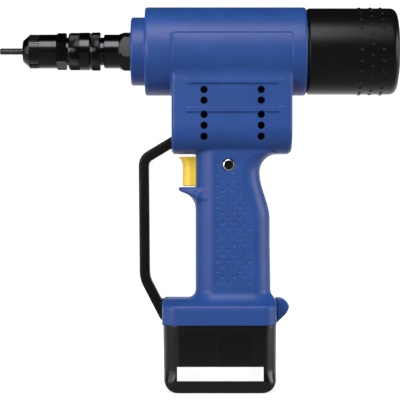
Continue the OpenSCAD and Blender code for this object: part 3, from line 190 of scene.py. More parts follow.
def grip_form(x, v, z):
    back = grip_back(z)
    side_panel = 0.3 * np.clip((x - 11) / 1.2, 0, 1) * np.clip((41 - x) / 5, 0, 1)
    side_panel = side_panel * np.clip((z - 78) / 4, 0, 1) * np.clip((174 - z) / 4, 0, 1)
    flank = v - GRIP_Y + side_panel + dimples(x, z)
    front_to_back = bar(x, (back + GRIP_FRONT_X) / 2, (back - GRIP_FRONT_X) / 2)
    grip = both(flank, front_to_back, GRIP_EDGE_R)
    return np.maximum(grip, bar(z, 130, 70))


def spur_form(x, v, z):
    """The finger rest under the trigger: a shelf that widens and thickens towards the grip."""
    edge = v - 9 - 10.75 * np.sqrt(np.clip((x + 16) / 27, 0, 1))
    slab = np.maximum(z - 151.8, 0.94 * (148.4 - 0.37 * (x + 14.3) - z))
    return np.maximum(both(slab, both(edge, -16 - x, 3.0), 1.6), x - 8)


def base_form(x, v, z):
    plan = both(bar(x, 14.25, 42.25), v - 31, 10.0)
    crown = 3.8 * ease((v - 15) / 15)
    return both(both(plan, z - DECK_Z + crown, 3.0), 50 - z, 0.4)


def hollow_form(x, v, z):
    round_about = np.hypot(v, z - AXIS_Z)
    bore = np.minimum(np.maximum(round_about - BORE_R, -38 - x), np.maximum(round_about - 22.5, x + 37))
    motor_room = both(both(v - 25.5, 180 - z, 15.0), bar(x, 23.5, 41.5), 1.5)
    grip_room = np.maximum(both(bar(x, 20.25, 19.75), v - 14.5, 10.0), bar(z, 118, 63))
    base_room = np.maximum(both(bar(x, 14.25, 39.25), v - 28, 7.0), bar(z, 56.5, 7.5))
    rooms = np.minimum(np.maximum(motor_room, z - 250), np.minimum(grip_room, base_room))
    return np.minimum(bore, rooms)


def housing(x, y, z, right):
    """Distance outside one half, in millimetres; both halves are alike apart from their fixings."""
    v = np.abs(y)
    body = join(barrel_form(x, v, z), block_form(x, v, z), 1.5)
    body = join(body, grip_form(x, v, z), 1.2)
    body = join(body, base_form(x, v, z), 6.5)
    spur_fillet = 0.8 + 7 * ease((150.5 - z) / 3) * ease((3 - x) / 6)
    body = join(body, spur_form(x, v, z), spur_fillet * ease((7 - x) / 5))
    body = np.maximum(body, -hollow_form(x, v, z))
    for place_x, place_z, seat, inner in SCREW_PLACES:
        off = np.hypot(x - place_x, z - place_z)
        body = np.minimum(body, np.maximum(off - PILLAR_R, np.maximum(v - seat, inner - v)))
        if right:
            body = cut(body, np.maximum(off - COUNTERBORE_R, seat - v), 0.35)
    for vent_x, vent_z in VENT_PLACES:
        body = cut(body, np.maximum(np.hypot(x - vent_x, z - vent_z) - VENT_R, 18 - v), 0.15)
    trigger_slot = np.maximum(np.maximum(bar(x, -2, 6), v - 7.55), bar(z, 163.6, 11.6))
    latch_window = np.maximum(np.maximum(bar(x, 55, 2.5), v - 11.3), bar(z, 57.8, 8.9))
    guard_slot = np.maximum(np.maximum(bar(x, -19.5, 2.5), v - 8.3), bar(z, 184.2, 3.5))
    guard_notch = np.maximum(np.maximum(x + 24.4, v - 8.3), bar(z, 65, 10))
    latch_frame = np.maximum(np.maximum(bar(x, 55.8, 1.0), bar(v, 12.7, 1.1)), bar(z, 59.2, 8.3))
    body = np.minimum(body, latch_frame)
    for opening in (trigger_slot, latch_window, guard_slot, guard_notch):
        body = cut(body, opening, 0.35)
    off = np.hypot(x - BOLT_X, z - BOLT_Z)
    body = np.minimum(body, np.maximum(off - BOLT_BOSS_R, v - BOLT_SEAT_Y))
    if not right:
        body = cut(body, np.maximum(off - BOLT_POCKET_R, BOLT_SEAT_Y - v), 0.35)
    return body


def slope(field, points):
    """Which way a distance field rises, at points in millimetres."""
    small = 0.02
    steps = []
    for axis in range(3):
        shift = np.zeros(3)
        shift[axis] = small
        steps.append(field(*(points + shift).T) - field(*(points - shift).T))
    return np.stack(steps, axis=1) / (2 * small)


def settled(field, points, step):
    """Points near a surface, moved on to it along the slope of its field."""
    for _ in range(3):
        rise = slope(field, points)
        away = field(*points.T)[:, None] * rise / np.maximum((rise ** 2).sum(1), 0.2)[:, None]
        points = points - np.clip(away, -0.5 * step, 0.5 * step)
    return points


def refine(mesh, field, step, wanted):
    """Splits the faces where small relief is wanted, long ones twice, and settles them on the field again."""
    shape = bmesh.new()
    shape.from_mesh(mesh)
    for longest in (0.0, 0.8 * step):
        shape.verts.index_update()
        places = np.array([vert.co for vert in shape.verts]) / MM
        fine = wanted(*places.T)
        edges = [edge for edge in shape.edges if fine[edge.verts[0].index] and fine[edge.verts[1].index]]
        edges = [edge for edge in edges if edge.calc_length() > MM * longest]
        bmesh.ops.subdivide_edges(shape, edges=edges, cuts=2, use_grid_fill=True)
        places = settled(field, np.array([vert.co for vert in shape.verts]) / MM, step)
        for vert, place in zip(shape.verts, MM * places):
            vert.co = place
    shape.to_mesh(mesh)
    shape.free()


def moulded(name, field, low, high, step, merge=0.02):
    """A mesh of a piece's surface, which lies where its distance field is zero."""
    counts = [int((top - bottom) / step) + 2 for bottom, top in zip(low, high)]
    axes = [bottom + step * np.arange(count) for bottom, count in zip(low, counts)]
    x, y, z = np.meshgrid(*[axis.astype(np.float32) for axis in axes], indexing="ij", sparse=True)
    depth = np.clip(field(x, y, z), -3 * step, 3 * step)
    grid = openvdb.FloatGrid(3 * step)
    grid.copyFromArray(np.ascontiguousarray(depth, dtype=np.float32))
    points, triangles, quads = grid.convertToPolygons(isovalue=0.0, adaptivity=merge)
    points = settled(field, np.array(low) + step * points.astype(float), step)
    mesh = bpy.data.meshes.new(name)
    mesh.from_pydata((MM * points).tolist(), [], triangles.tolist() + quads.tolist())
    return mesh


def shade_by(mesh, field):
    """Smooth shading that follows the piece's field, apart from faces already set flat."""
    points = np.empty(3 * len(mesh.vertices))
    mesh.vertices.foreach_get("co", points)
    rise = slope(field, points.reshape(-1, 3) / MM)
    rise = rise / np.maximum(np.linalg.norm(rise, axis=1), 1e-6)[:, None]
    corners = np.empty(len(mesh.loops), dtype=np.int32)
    mesh.loops.foreach_get("vertex_index", corners)
    normals = rise[corners]
    flat = np.array([not face.use_smooth for face in mesh.polygons])
    sizes = np.empty(len(mesh.polygons), dtype=np.int32)
    mesh.polygons.foreach_get("loop_total", sizes)
    normals[np.repeat(flat, sizes)] = 0
    mesh.normals_split_custom_set(normals.tolist())


def close_seam(mesh, field, side):
    """Cuts a half near the middle plane and lets its joint face out to the plane, with a small chamfer."""
    shape = bmesh.new()
    shape.from_mesh(mesh)
    for face in shape.faces:
        face.smooth = True
    whole = shape.verts[:] + shape.edges[:] + shape.faces[:]
    cut_at = (0, SEAM_CUT * MM * side, 0)
    inward = (0, -side, 0)
    bmesh.ops.bisect_plane(shape, geom=whole, dist=1e-7, plane_co=cut_at, plane_no=inward, clear_outer=True)
    rim = [edge for edge in shape.edges if edge.is_boundary]
    filled = bmesh.ops.triangle_fill(shape, use_beauty=True, edges=rim, normal=inward)["geom"]
    joint_face = [part for part in filled if isinstance(part, bmesh.types.BMFace)]
    let_out = bmesh.ops.extrude_face_region(shape, geom=joint_face)["geom"]
    bmesh.ops.delete(shape, geom=joint_face, context="FACES")
    inner = [part for part in let_out if isinstance(part, bmesh.types.BMVert)]
    places = np.array([vert.co for vert in inner]) / MM
    rise = slope(field, places)
    for vert, (across, _, up) in zip(inner, rise):
        length = max(math.hypot(across, up), 1e-6)
        vert.co += Vector((-SEAM_CHAMFER * MM * across / length, 0, -SEAM_CHAMFER * MM * up / length))
        vert.co.y = SEAM_ROOM * MM * side
    for face in shape.faces:
        face.smooth = max(abs(vert.co.y) for vert in face.verts) > 1.02 * SEAM_CUT * MM
    shape.to_mesh(mesh)
    shape.free()


def finish_tree(name):
    """A new material with its shader and the object's own coordinates."""
    material = bpy.data.materials.new(name)
    material.use_nodes = True
    tree = material.node_tree
    coordinates = tree.nodes.new("ShaderNodeTexCoord")
    return material, tree, tree.nodes["Principled BSDF"], coordinates.outputs["Object"]


def speckle(tree, coordinates, size, stretch=(1, 1, 1), detail=2.0):
    """Random pattern with spots of about a size in metres, stretched along the axes."""
    mapping = tree.nodes.new("ShaderNodeMapping")
    mapping.inputs["Scale"].default_value = stretch
    tree.links.new(coordinates, mapping.inputs["Vector"])
    noise = tree.nodes.new("ShaderNodeTexNoise")
    noise.inputs["Scale"].default_value = 1 / size
    noise.inputs["Detail"].default_value = detail
    tree.links.new(mapping.outputs["Vector"], noise.inputs["Vector"])
    return noise.outputs["Fac"]


def spread(tree, value, low, high, start=0.3, end=0.7):
    """A value between start and end, spread from low to high."""
    node = tree.nodes.new("ShaderNodeMapRange")
    node.inputs["From Min"].default_value = start
    node.inputs["From Max"].default_value = end
    node.inputs["To Min"].default_value = low
    node.inputs["To Max"].default_value = high
    tree.links.new(value, node.inputs["Value"])
    return node.outputs["Result"]


def shades(tree, factor, dark, light):
    """A colour between two, by a factor."""
    node = tree.nodes.new("ShaderNodeMix")
    node.data_type = "RGBA"
    node.inputs[6].default_value = (*dark, 1)
    node.inputs[7].default_value = (*light, 1)
    tree.links.new(factor, node.inputs[0])
    return node.outputs[2]


def relief(tree, shader, height, depth, strength=1.0):
    """Fine relief of a surface, of a depth in metres."""
    bump = tree.nodes.new("ShaderNodeBump")
    bump.inputs["Distance"].default_value = depth
    bump.inputs["Strength"].default_value = strength
    tree.links.new(height, bump.inputs["Height"])
    tree.links.new(bump.outputs["Normal"], shader.inputs["Normal"])


def moulded_finish(name, colour, roughness, grain=0.0005, gloss=0.5):
    """Moulded plastic: slight clouding of the colour, fine grain, uneven gloss."""
    material, tree, shader, place = finish_tree(name)
    clouds = spread(tree, speckle(tree, place, 0.02), 0, 1)
    dark = [0.93 * c for c in colour]
    light = [1.07 * c for c in colour]
    tree.links.new(shades(tree, clouds, dark, light), shader.inputs["Base Color"])
    sheen = spread(tree, speckle(tree, place, 0.006), roughness - 0.015, roughness + 0.015)
    tree.links.new(sheen, shader.inputs["Roughness"])
    shader.inputs["Specular IOR Level"].default_value = gloss
    relief(tree, shader, speckle(tree, place, grain, detail=3.0), 0.00004, 0.6)
    return material


def put(name, data):
    """A new object in the scene."""
    made = bpy.data.objects.new(name, data)
    scene.collection.objects.link(made)
    return made


def piece(name, mesh, material, body, slot, *stands_for):
    """A finished piece on its body, in place of the nodes it stands for."""
    made = put(name, mesh)
    mesh.materials.clear()
    mesh.materials.append(material)
    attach(made, body)
    if stands_for:
        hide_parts(*stands_for)
    return made


blue_nylon = moulded_finish("blue_nylon", (0.018, 0.068, 0.262), 0.42, gloss=0.37)
blue_nylon.node_tree.nodes["Principled BSDF"].inputs["Specular Tint"].default_value = (1.0, 0.8, 0.86, 1)
for side, half in ((-1, "left_housing"), (1, "right_housing")):
    def half_field(x, y, z, right=side > 0):
        return housing(x, y, z, right)

    low_y, high_y = (-35.0, 1.9) if side < 0 else (-1.9, 35.0)
    half_mesh = moulded(half, half_field, (-54.0, low_y, 48.2), (81.4, high_y, 288.5), HOUSING_STEP)
    refine(half_mesh, half_field, HOUSING_STEP, near_relief)
    close_seam(half_mesh, half_field, side)
    shade_by(half_mesh, half_field)
    piece(half + "_shell", half_mesh, blue_nylon, "tool_frame", "housing_blue", half)

# Vent shade: thin black strips inside the housing, painted shade that keeps the vents dark.
# One strip stands inside each housing half behind each row of vents, and leans with the wall.
VENT_SHADE_SIZE = (7.4, 0.5, 41.0)
VENT_SHADE_Y = 25.2
VENT_SHADE_Z = 206.0
VENT_SHADE_LEAN = 3.4


def meshed(name, shape):
    """A mesh of a finished shape."""
    mesh = bpy.data.meshes.new(name)
    shape.to_mesh(mesh)
    shape.free()
    return mesh


# The strips' near black colour is painted shade behind the vents.
vent_shade_black = moulded_finish("vent_shade_black", (0.003, 0.003, 0.003), 0.8, grain=0.0008, gloss=0.05)
vent_shade_shape = bmesh.new()
for vent_x in VENT_COLUMNS:
    for side in (-1, 1):
        strip = bmesh.ops.create_cube(vent_shade_shape, size=MM)["verts"]
        bmesh.ops.scale(vent_shade_shape, vec=VENT_SHADE_SIZE, verts=strip)
        bmesh.ops.translate(vent_shade_shape, vec=(MM * vent_x, MM * VENT_SHADE_Y * side, MM * VENT_SHADE_Z), verts=strip)
        for corner in strip:
            if corner.co.z < MM * VENT_SHADE_Z:
                corner.co.y -= MM * VENT_SHADE_LEAN * side
piece("dust_gauze", meshed("dust_gauze", vent_shade_shape), vent_shade_black, "tool_frame", "black_plastic")

# Housing screws: eight black cap screws with hexagon sockets, sunk in counterbores on the right side.
# Each one passes a pillar of the right half and bites in the pillar of the left half.
SCREW_BITE = 9.5


def crisp(mesh, degrees=30):
    """Smooth shading that stays sharp at edges over an angle."""
    for face in mesh.polygons:
        face.use_smooth = True
    mesh.set_sharp_from_angle(angle=math.radians(degrees))


def socket_screw(name, head_r, head_len, socket_r, socket_depth, shank_r, shank_len, edge=0.3):
    """A cap screw with its seat at the origin, head up and shank down."""
    turns = [math.radians(10 * k) for k in range(36)]
    hexagon = [math.cos(math.pi / 6) / math.cos(turn % (math.pi / 3) - math.pi / 6) for turn in turns]
    circle = [1.0] * len(turns)
    outline = [(shank_r, -shank_len, circle), (shank_r, 0, circle), (head_r, 0, circle)]
    for turn in (0, 22.5, 45, 67.5, 90):
        out = edge * math.cos(math.radians(turn))
        up = edge * math.sin(math.radians(turn))
        outline.append((head_r - edge + out, head_len - edge + up, circle))
    outline += [(socket_r, head_len, hexagon), (socket_r, head_len - socket_depth, hexagon)]
    shape = bmesh.new()
    rings = []
    for radius, height, form in outline:
        reach = [MM * radius * part for part in form]
        ring = [(r * math.cos(t), r * math.sin(t), MM * height) for r, t in zip(reach, turns)]
        rings.append([shape.verts.new(point) for point in ring])
    for low, high in zip(rings, rings[1:]):
        for k in range(len(turns)):
            shape.faces.new((low[k - 1], low[k], high[k], high[k - 1]))
    shape.faces.new(rings[0][::-1])
    shape.faces.new(rings[-1])
    mesh = meshed(name, shape)
    crisp(mesh)
    return mesh


def new_tree(name, **inputs):
    """A geometry tree with named inputs of the given kinds."""
    tree = bpy.data.node_groups.new(name, "GeometryNodeTree")
    tree.interface.new_socket("Geometry", in_out="INPUT", socket_type="NodeSocketGeometry")
    tree.interface.new_socket("Geometry", in_out="OUTPUT", socket_type="NodeSocketGeometry")
    for label, kind in inputs.items():
        tree.interface.new_socket(label, in_out="INPUT", socket_type="NodeSocket" + kind)
    return tree, tree.nodes.new("NodeGroupInput").outputs, tree.nodes.new("NodeGroupOutput").inputs["Geometry"]


def feed(tree, socket, value):
    if isinstance(value, bpy.types.NodeSocket):
        tree.links.new(value, socket)
    else:
        socket.default_value = value


def add(tree, kind, **feeds):
    """A node with its inputs fed by other sockets or set to values."""
    node = tree.nodes.new(kind)
    for label, value in feeds.items():
        feed(tree, node.inputs[label.replace("_", " ")], value)
    return node


def end_tree(tree, instances, finish, end):
    """Turns instances into plain faces of one material."""
    faces = add(tree, "GeometryNodeRealizeInstances", Geometry=instances).outputs["Geometry"]
    dressed = add(tree, "GeometryNodeSetMaterial", Geometry=faces, Material=finish).outputs["Geometry"]
    tree.links.new(dressed, end)


def grown(name, tree, base=None, **settings):
    """The plain mesh that a geometry tree makes from its settings."""
    holder = put(name, base or bpy.data.meshes.new(name))
    modifier = holder.modifiers.new(name, "NODES")
    modifier.node_group = tree
    for socket in tree.interface.items_tree:
        if socket.in_out == "INPUT" and socket.name in settings:
            modifier[socket.identifier] = settings[socket.name]
    mesh = bpy.data.meshes.new_from_object(holder.evaluated_get(bpy.context.evaluated_depsgraph_get()))
    holder.modifiers.remove(modifier)
    bpy.data.objects.remove(holder)
    return mesh


def turned_finish(name, colour, roughness, metallic=1.0):
    """Turned metal: fine tool marks round the tool's axis and uneven gloss."""
    material, tree, shader, place = finish_tree(name)
    marks = speckle(tree, place, 0.0003, (1, 0.02, 0.02))
    stains = spread(tree, speckle(tree, place, 0.008), 0, 1)
    dark = [0.85 * c for c in colour]
    tree.links.new(shades(tree, stains, dark, colour), shader.inputs["Base Color"])
    tree.links.new(spread(tree, marks, roughness - 0.05, roughness + 0.05), shader.inputs["Roughness"])
    shader.inputs["Metallic"].default_value = metallic
    relief(tree, shader, marks, 0.00001, 0.4)
    return material


black_oxide = turned_finish("black_oxide", (0.038, 0.038, 0.040), 0.18)
out_tree, given, out_end = new_tree("set_out", Part="Object", Turn="Vector", Finish="Material")
part = add(out_tree, "GeometryNodeObjectInfo", Object=given["Part"]).outputs["Geometry"]
placed = add(out_tree, "GeometryNodeInstanceOnPoints", Points=given["Geometry"], Instance=part,
             Rotation=given["Turn"])
end_tree(out_tree, placed.outputs["Instances"], given["Finish"], out_end)
screw_meshes = []
for pillar_end in (0.0, 8.3):
    seats = [place for place in SCREW_PLACES if place[3] == pillar_end]
    spots = bpy.data.meshes.new("screw_spots")
    spots.from_pydata([(MM * x, MM * seat, MM * z) for x, z, seat, _ in seats], [], [])
    screw_mesh = socket_screw("cap_screw", head_r=2.9, head_len=2.4, socket_r=1.5, socket_depth=1.4,
                              shank_r=1.5, shank_len=12 + SCREW_BITE)
    screw = put("cap_screw", screw_mesh)
    mesh = grown("screws", out_tree, spots, Part=screw, Turn=(-math.pi / 2, 0, 0), Finish=black_oxide)
    bpy.data.objects.remove(screw)
    crisp(mesh)
    screw_meshes.append(mesh)
piece("grip_and_barrel_screws", screw_meshes[0], black_oxide, "tool_frame", "black_steel", "housing_screws")
piece("guard_screws", screw_meshes[1], black_oxide, "tool_frame", "black_steel", "housing_screws")

# Handle bolt: a bright zinc-plated bolt with a large hexagon socket, in a pocket of the left grip half.
# It clamps the grip behind the trigger.
zinc = turned_finish("zinc_plate", (0.80, 0.80, 0.82), 0.22)
# A black disc in the floor of the bolt's hexagon socket is painted shade, so the socket reads dark.
socket_shade_black = moulded_finish("socket_shade_black", (0.006, 0.006, 0.006), 0.6, gloss=0.1)


def on_bolt_seat(mesh):
    """Turns a screw that stands up to face the left side, on the bolt's seat."""
    for corner in mesh.vertices:
        x, y, z = corner.co
        corner.co = (x + MM * BOLT_X, -z - MM * BOLT_SEAT_Y, y + MM * BOLT_Z)
    crisp(mesh)
    return mesh


bolt_mesh = socket_screw("handle_bolt", head_r=4.65, head_len=2.6, socket_r=3.5, socket_depth=2.1, shank_r=2.5,
                         shank_len=27.6, edge=1.1)
bolt = on_bolt_seat(bolt_mesh)
piece("handle_bolt_head", bolt, zinc, "tool_frame", "steel", "handle_bolt")
# The disc is painted shade at the bottom of the socket.
socket_shade_mesh = socket_screw("bolt_socket", head_r=3.1, head_len=0.75, socket_r=2.6, socket_depth=0.2, shank_r=2.4,
                         shank_len=0.1)
socket_shade_disc = on_bolt_seat(socket_shade_mesh)
piece("handle_bolt_socket", socket_shade_disc, socket_shade_black, "tool_frame", "steel")

# Hand guard: a flat black nylon bar with rounded edges, bent round the fingers from block to base.
# Its two tabs are trapped between the housing halves, each on a housing screw.
GUARD_LINE = [(-20.0, 185.9), (-42.0, 172.7), (-41.2, 84.0), (-26.6, 55.8)]
GUARD_HALF_T = 3.8
GUARD_HALF_W = 8.0
GUARD_BEND_R = 5.0
FINE_STEP = 0.5


def bent(line, radius):
    """A line with each of its corners rounded by a short curve."""
    points = [np.array(line[0])]
    for before, corner, after in zip(line, line[1:], line[2:]):
        before, corner, after = np.array(before), np.array(corner), np.array(after)
        start = corner + radius * (before - corner) / np.linalg.norm(before - corner)
        end = corner + radius * (after - corner) / np.linalg.norm(after - corner)
        for t in np.linspace(0, 1, 6):
            points.append((1 - t) ** 2 * start + 2 * t * (1 - t) * corner + t ** 2 * end)
    return points + [np.array(line[-1])]


def from_line(x, z, line):
    """Distance from a line in the side view."""
    nearest = np.inf
    for (x0, z0), (x1, z1) in zip(line, line[1:]):
        along_x, along_z = x1 - x0, z1 - z0
        t = ((x - x0) * along_x + (z - z0) * along_z) / (along_x ** 2 + along_z ** 2)
        t = np.clip(t, 0, 1)
        nearest = np.minimum(nearest, np.hypot(x - x0 - t * along_x, z - z0 - t * along_z))
    return nearest


GUARD_BENT = bent(GUARD_LINE, GUARD_BEND_R)


def guard_field(x, y, z):
    v = np.abs(y)
    bow = both(from_line(x, z, GUARD_BENT) - GUARD_HALF_T, v - GUARD_HALF_W, 1.5)
    bow = np.maximum(bow, np.where(z > 120, x + 21.05, x + 28.05))
    foot = both(np.maximum(bar(x, -27, 2.3), bar(z, 62, 6.5)), v - GUARD_HALF_W, 1.2)
    top_tab = np.maximum(bar(x, -17, 5), bar(z, 184.2, 3.2))
    low_tab = np.maximum(bar(x, -23.5, 4.5), bar(z, 58.5, 3.2))
    tabs = np.maximum(np.minimum(top_tab, low_tab), v - GUARD_HALF_W)
    holes = np.minimum(np.hypot(x + 22.6, z - 58.5), np.hypot(x + 15.6, z - 184.2)) - 1.8
    return np.maximum(np.minimum(np.minimum(bow, foot), tabs), -holes)


black_nylon = moulded_finish("black_nylon", (0.002, 0.002, 0.0022), 0.34, gloss=0.22)
guard = moulded("hand_guard", guard_field, (-48.5, -9.2, 51.0), (-10.5, 9.2, 191.5), FINE_STEP)
shade_by(guard, guard_field)
piece("guard_bow", guard, black_nylon, "tool_frame", "black_plastic", "hand_guard")

# Nose: steel parts turned and blackened, screwed together on one axis.
# The head has a hexagon for a spanner; the lock ring and the sleeve are knurled, the lock nut has six flats.
SLEEVE_R = 14.2
RING_R = 14.5
NECK_R = 10.55
KNURL_COUNT = 52
KNURL_H = 0.6
SIDES = 96


def turned(name, outline, sides=SIDES):
    """A piece turned on the barrel's axis from a closed outline of (place, radius) points."""
    shape = bmesh.new()
    rings = []
    for x, r in outline:
        count = sides if r else 1
        turns = [2 * math.pi * k / count for k in range(count)]
        ring = [(MM * x, MM * r * math.cos(t), MM * (AXIS_Z + r * math.sin(t))) for t in turns]
        rings.append([shape.verts.new(point) for point in ring])
    for here, there in zip(rings, rings[1:] + rings[:1]):
        if len(here) + len(there) == 2:
            continue
        for k in range(max(len(here), len(there))):
            near = [here[k % len(here)], here[(k + 1) % len(here)]]
            far = [there[(k + 1) % len(there)], there[k % len(there)]]
            shape.faces.new(list(dict.fromkeys(near + far)))
    bmesh.ops.recalc_face_normals(shape, faces=shape.faces)
    mesh = meshed(name, shape)
    crisp(mesh)
    return mesh


def round_edge(x, r, radius, start, end, steps=6):
    """Points of an arc of an outline about a centre, by angles in degrees from the axis."""
    angles = [math.radians(start + (end - start) * k / steps) for k in range(steps + 1)]
    return [(x + radius * math.cos(a), r + radius * math.sin(a)) for a in angles]


def maths(tree, operation, *terms):
    node = tree.nodes.new("ShaderNodeMath")
    node.operation = operation
    for socket, term in zip(node.inputs, terms):
        feed(tree, socket, term)
    return node.outputs[0]


# Rows of one small form round the barrel's axis, each second row set round by a part of the pitch
row_tree, given, row_end = new_tree("rows_round", Part="Object", Rows="Int", Count="Int", Radius="Float",
                                    Start="Float", Pitch="Float", Phase="Float", Shift="Float", Height="Float",
                                    Finish="Material")
number = add(row_tree, "GeometryNodeInputIndex").outputs["Index"]
row = maths(row_tree, "FLOOR", maths(row_tree, "DIVIDE", maths(row_tree, "ADD", number, 0.5), given["Count"]))
shifted = maths(row_tree, "MULTIPLY_ADD", maths(row_tree, "MODULO", row, 2.0), given["Shift"], number)
step_turn = maths(row_tree, "DIVIDE", math.tau, given["Count"])
turn = maths(row_tree, "MULTIPLY_ADD", shifted, step_turn, given["Phase"])
to_camera = maths(row_tree, "MULTIPLY", given["Radius"], -1.0)
out_y = maths(row_tree, "MULTIPLY", maths(row_tree, "COSINE", turn), to_camera)
out_z = maths(row_tree, "MULTIPLY_ADD", maths(row_tree, "SINE", turn), given["Radius"], given["Height"])
out_x = maths(row_tree, "MULTIPLY_ADD", row, given["Pitch"], given["Start"])
spot = add(row_tree, "ShaderNodeCombineXYZ", X=out_x, Y=out_y, Z=out_z).outputs["Vector"]
spots = add(row_tree, "GeometryNodePoints", Count=maths(row_tree, "MULTIPLY", given["Rows"], given["Count"]),
            Position=spot).outputs[0]
tilt = add(row_tree, "ShaderNodeCombineXYZ", X=maths(row_tree, "MULTIPLY", turn, -1.0)).outputs["Vector"]
part = add(row_tree, "GeometryNodeObjectInfo", Object=given["Part"]).outputs["Geometry"]
placed = add(row_tree, "GeometryNodeInstanceOnPoints", Points=spots, Instance=part, Rotation=tilt)
end_tree(row_tree, placed.outputs["Instances"], given["Finish"], row_end)


def rows_round(name, form, finish, rows, count, radius, start, pitch, phase=0.0, shift=0.0):
    """A mesh of a form repeated in rows; the form faces the camera's side, at the origin."""
    loose = put(name, form)
    mesh = grown(name, row_tree, Part=loose, Rows=rows, Count=count, Radius=MM * radius, Start=MM * start,
                 Pitch=MM * pitch, Phase=phase, Shift=shift, Height=MM * AXIS_Z, Finish=finish)
    bpy.data.objects.remove(loose)
    return mesh


def pyramid(width, length, height):
    """One diamond of a knurl, its base let a little into the surface."""
    mesh = bpy.data.meshes.new("diamond")
    base = [(-length / 2, 0.15, 0), (0, 0.15, -width / 2), (length / 2, 0.15, 0), (0, 0.15, width / 2)]
    points = [tuple(MM * c for c in p) for p in base + [(0, -height, 0)]]
    mesh.from_pydata(points, [], [(0, 3, 2, 1), (0, 1, 4), (1, 2, 4), (2, 3, 4), (3, 0, 4)])
    return mesh


def knurl(name, radius, start, end, body):
    """A band of diamonds between two places along the tool."""
    pitch = math.tau * radius / KNURL_COUNT / 2
    rows = int((end - start) / pitch)
    form = pyramid(2 * pitch, 2 * pitch, KNURL_H)
    mesh = rows_round(name, form, black_oxide, rows, KNURL_COUNT, radius, start + pitch, pitch, shift=0.5)
    return piece(name, mesh, black_oxide, body, "black_steel")


ring_core = RING_R - KNURL_H
ring_outline = [(-81.55, NECK_R), (-81.55, RING_R - 0.9), (-80.9, ring_core), (-75.3, ring_core),
                (-74.35, RING_R - 1.2), (-74.35, NECK_R)]
piece("lock_ring_body", turned("lock_ring", ring_outline), black_oxide, "ring", "black_steel", "lock_ring")
knurl("lock_ring_knurl", ring_core, -81.1, -75.0, "ring")
sleeve_core = SLEEVE_R - KNURL_H
sleeve_outline = [(-98.05, NECK_R), (-98.05, SLEEVE_R - 1.0), (-97.2, sleeve_core), (-90.0, sleeve_core),
                  (-89.6, SLEEVE_R), (-82.6, SLEEVE_R), (-81.85, SLEEVE_R - 0.7), (-81.85, NECK_R)]
piece("sleeve_body", turned("sleeve", sleeve_outline), black_oxide, "sleeve", "black_steel", "knurled_sleeve")
knurl("sleeve_knurl", sleeve_core, -97.5, -89.7, "sleeve")
head_outline = [(-89.45, 8.3), (-89.45, 10.0), (-88.95, 10.5), (-71.75, 10.5), (-71.75, 12.15), (-71.15, 12.75),
                (-60.5, 12.75), (-60.5, 9.0), (-51.0, 9.0), (-51.0, 22.2), (-38.0, 22.2), (-38.0, 8.3)]
head = turned("steel_head", head_outline)
piece("steel_head_body", head, black_oxide, "tool_frame", "black_steel", "steel_head")


def with_flats(mesh, flat_r, lean):
    """Cuts six flats on a turned piece; the one at the camera's side leans up by an angle in degrees."""
    shape = bmesh.new()
    shape.from_mesh(mesh)
    for k in range(6):
        turn = math.radians(lean + 60 * k)
        out = Vector((0, -math.cos(turn), math.sin(turn)))
        whole = shape.verts[:] + shape.edges[:] + shape.faces[:]
        on_flat = Vector((0, 0, MM * AXIS_Z)) + MM * flat_r * out
        bmesh.ops.bisect_plane(shape, geom=whole, dist=1e-7, plane_co=on_flat, plane_no=out, clear_outer=True)
        bmesh.ops.holes_fill(shape, edges=[edge for edge in shape.edges if edge.is_boundary], sides=0)
    shape.to_mesh(mesh)
    shape.free()
    crisp(mesh, 20)
    return mesh


hexagon_outline = [(-60.5, 8.8), (-60.5, 12.75), (-56.75, 14.9), (-50.6, 14.9), (-50.6, 8.8)]
hexagon = with_flats(turned("hexagon", hexagon_outline, 2 * SIDES), flat_r=12.9, lean=11.5)
piece("steel_head_hexagon", hexagon, black_oxide, "tool_frame", "black_steel", "steel_head")


def dress(material, *names):
    """Gives CAD nodes a finish of their own."""
    for name in names:
        nodes[name].data.materials.clear()
        nodes[name].data.materials.append(material)


dress(black_oxide, "lock_nut")

# Nosepiece: the turned and blackened steel anvil that the rivet nut is set against.
# It screws into the sleeve, and its straight-knurled band is for the fingers.
NOSE_R = 12.75
FLUTES = 44
FLUTE_FLOOR_R = 12.3
nose_outline = [(-132.5, 3.3), *round_edge(-131.1, 7.4, 1.4, 180, 130), (-127.9, 12.0), (-127.4, FLUTE_FLOOR_R),
                (-120.3, FLUTE_FLOOR_R), (-119.9, NOSE_R), (-107.15, NOSE_R), (-107.15, 10.5), (-90.5, 10.5),
                (-90.5, 7.0), (-108.0, 7.0), (-108.0, 3.3)]
piece("nosepiece_body", turned("nosepiece", nose_outline), black_oxide, "nose", "black_steel", "nosepiece")
rib = bpy.data.meshes.new("rib")
rib_half = [(0.62, 0.2), (0.3, -0.42), (-0.3, -0.42), (-0.62, 0.2)]
rib_ends = [[(MM * x, MM * y, MM * z) for z, y in rib_half] for x in (-3.5, 3.5)]
rib_faces = [(0, 1, 5, 4), (1, 2, 6, 5), (2, 3, 7, 6), (3, 0, 4, 7), (0, 3, 2, 1), (4, 5, 6, 7)]
rib.from_pydata(rib_ends[0] + rib_ends[1], [], rib_faces)
flutes = rows_round("nosepiece_flutes", rib, black_oxide, rows=1, count=FLUTES, radius=FLUTE_FLOOR_R,
                    start=-123.95, pitch=1.0)
piece("nosepiece_flutes", flutes, black_oxide, "nose", "black_steel")

# Threaded mandrel: a hardened steel stud with a rolled M5 thread that the rivet nut is spun on to.
# The head at its rear end sits in the mandrel holder, which pulls it back.
THREAD_R = 2.5
THREAD_PITCH = 0.8
THREAD_LEN = 15.6
THREAD_DEPTH = 0.43


def laid(mesh, start, height):
    """Lays a spiral that stands on the origin along the tool, from a place and at a height."""
    for corner in mesh.vertices:
        x, y, z = corner.co
        corner.co = (z + MM * start, y, MM * height - x)
    return mesh


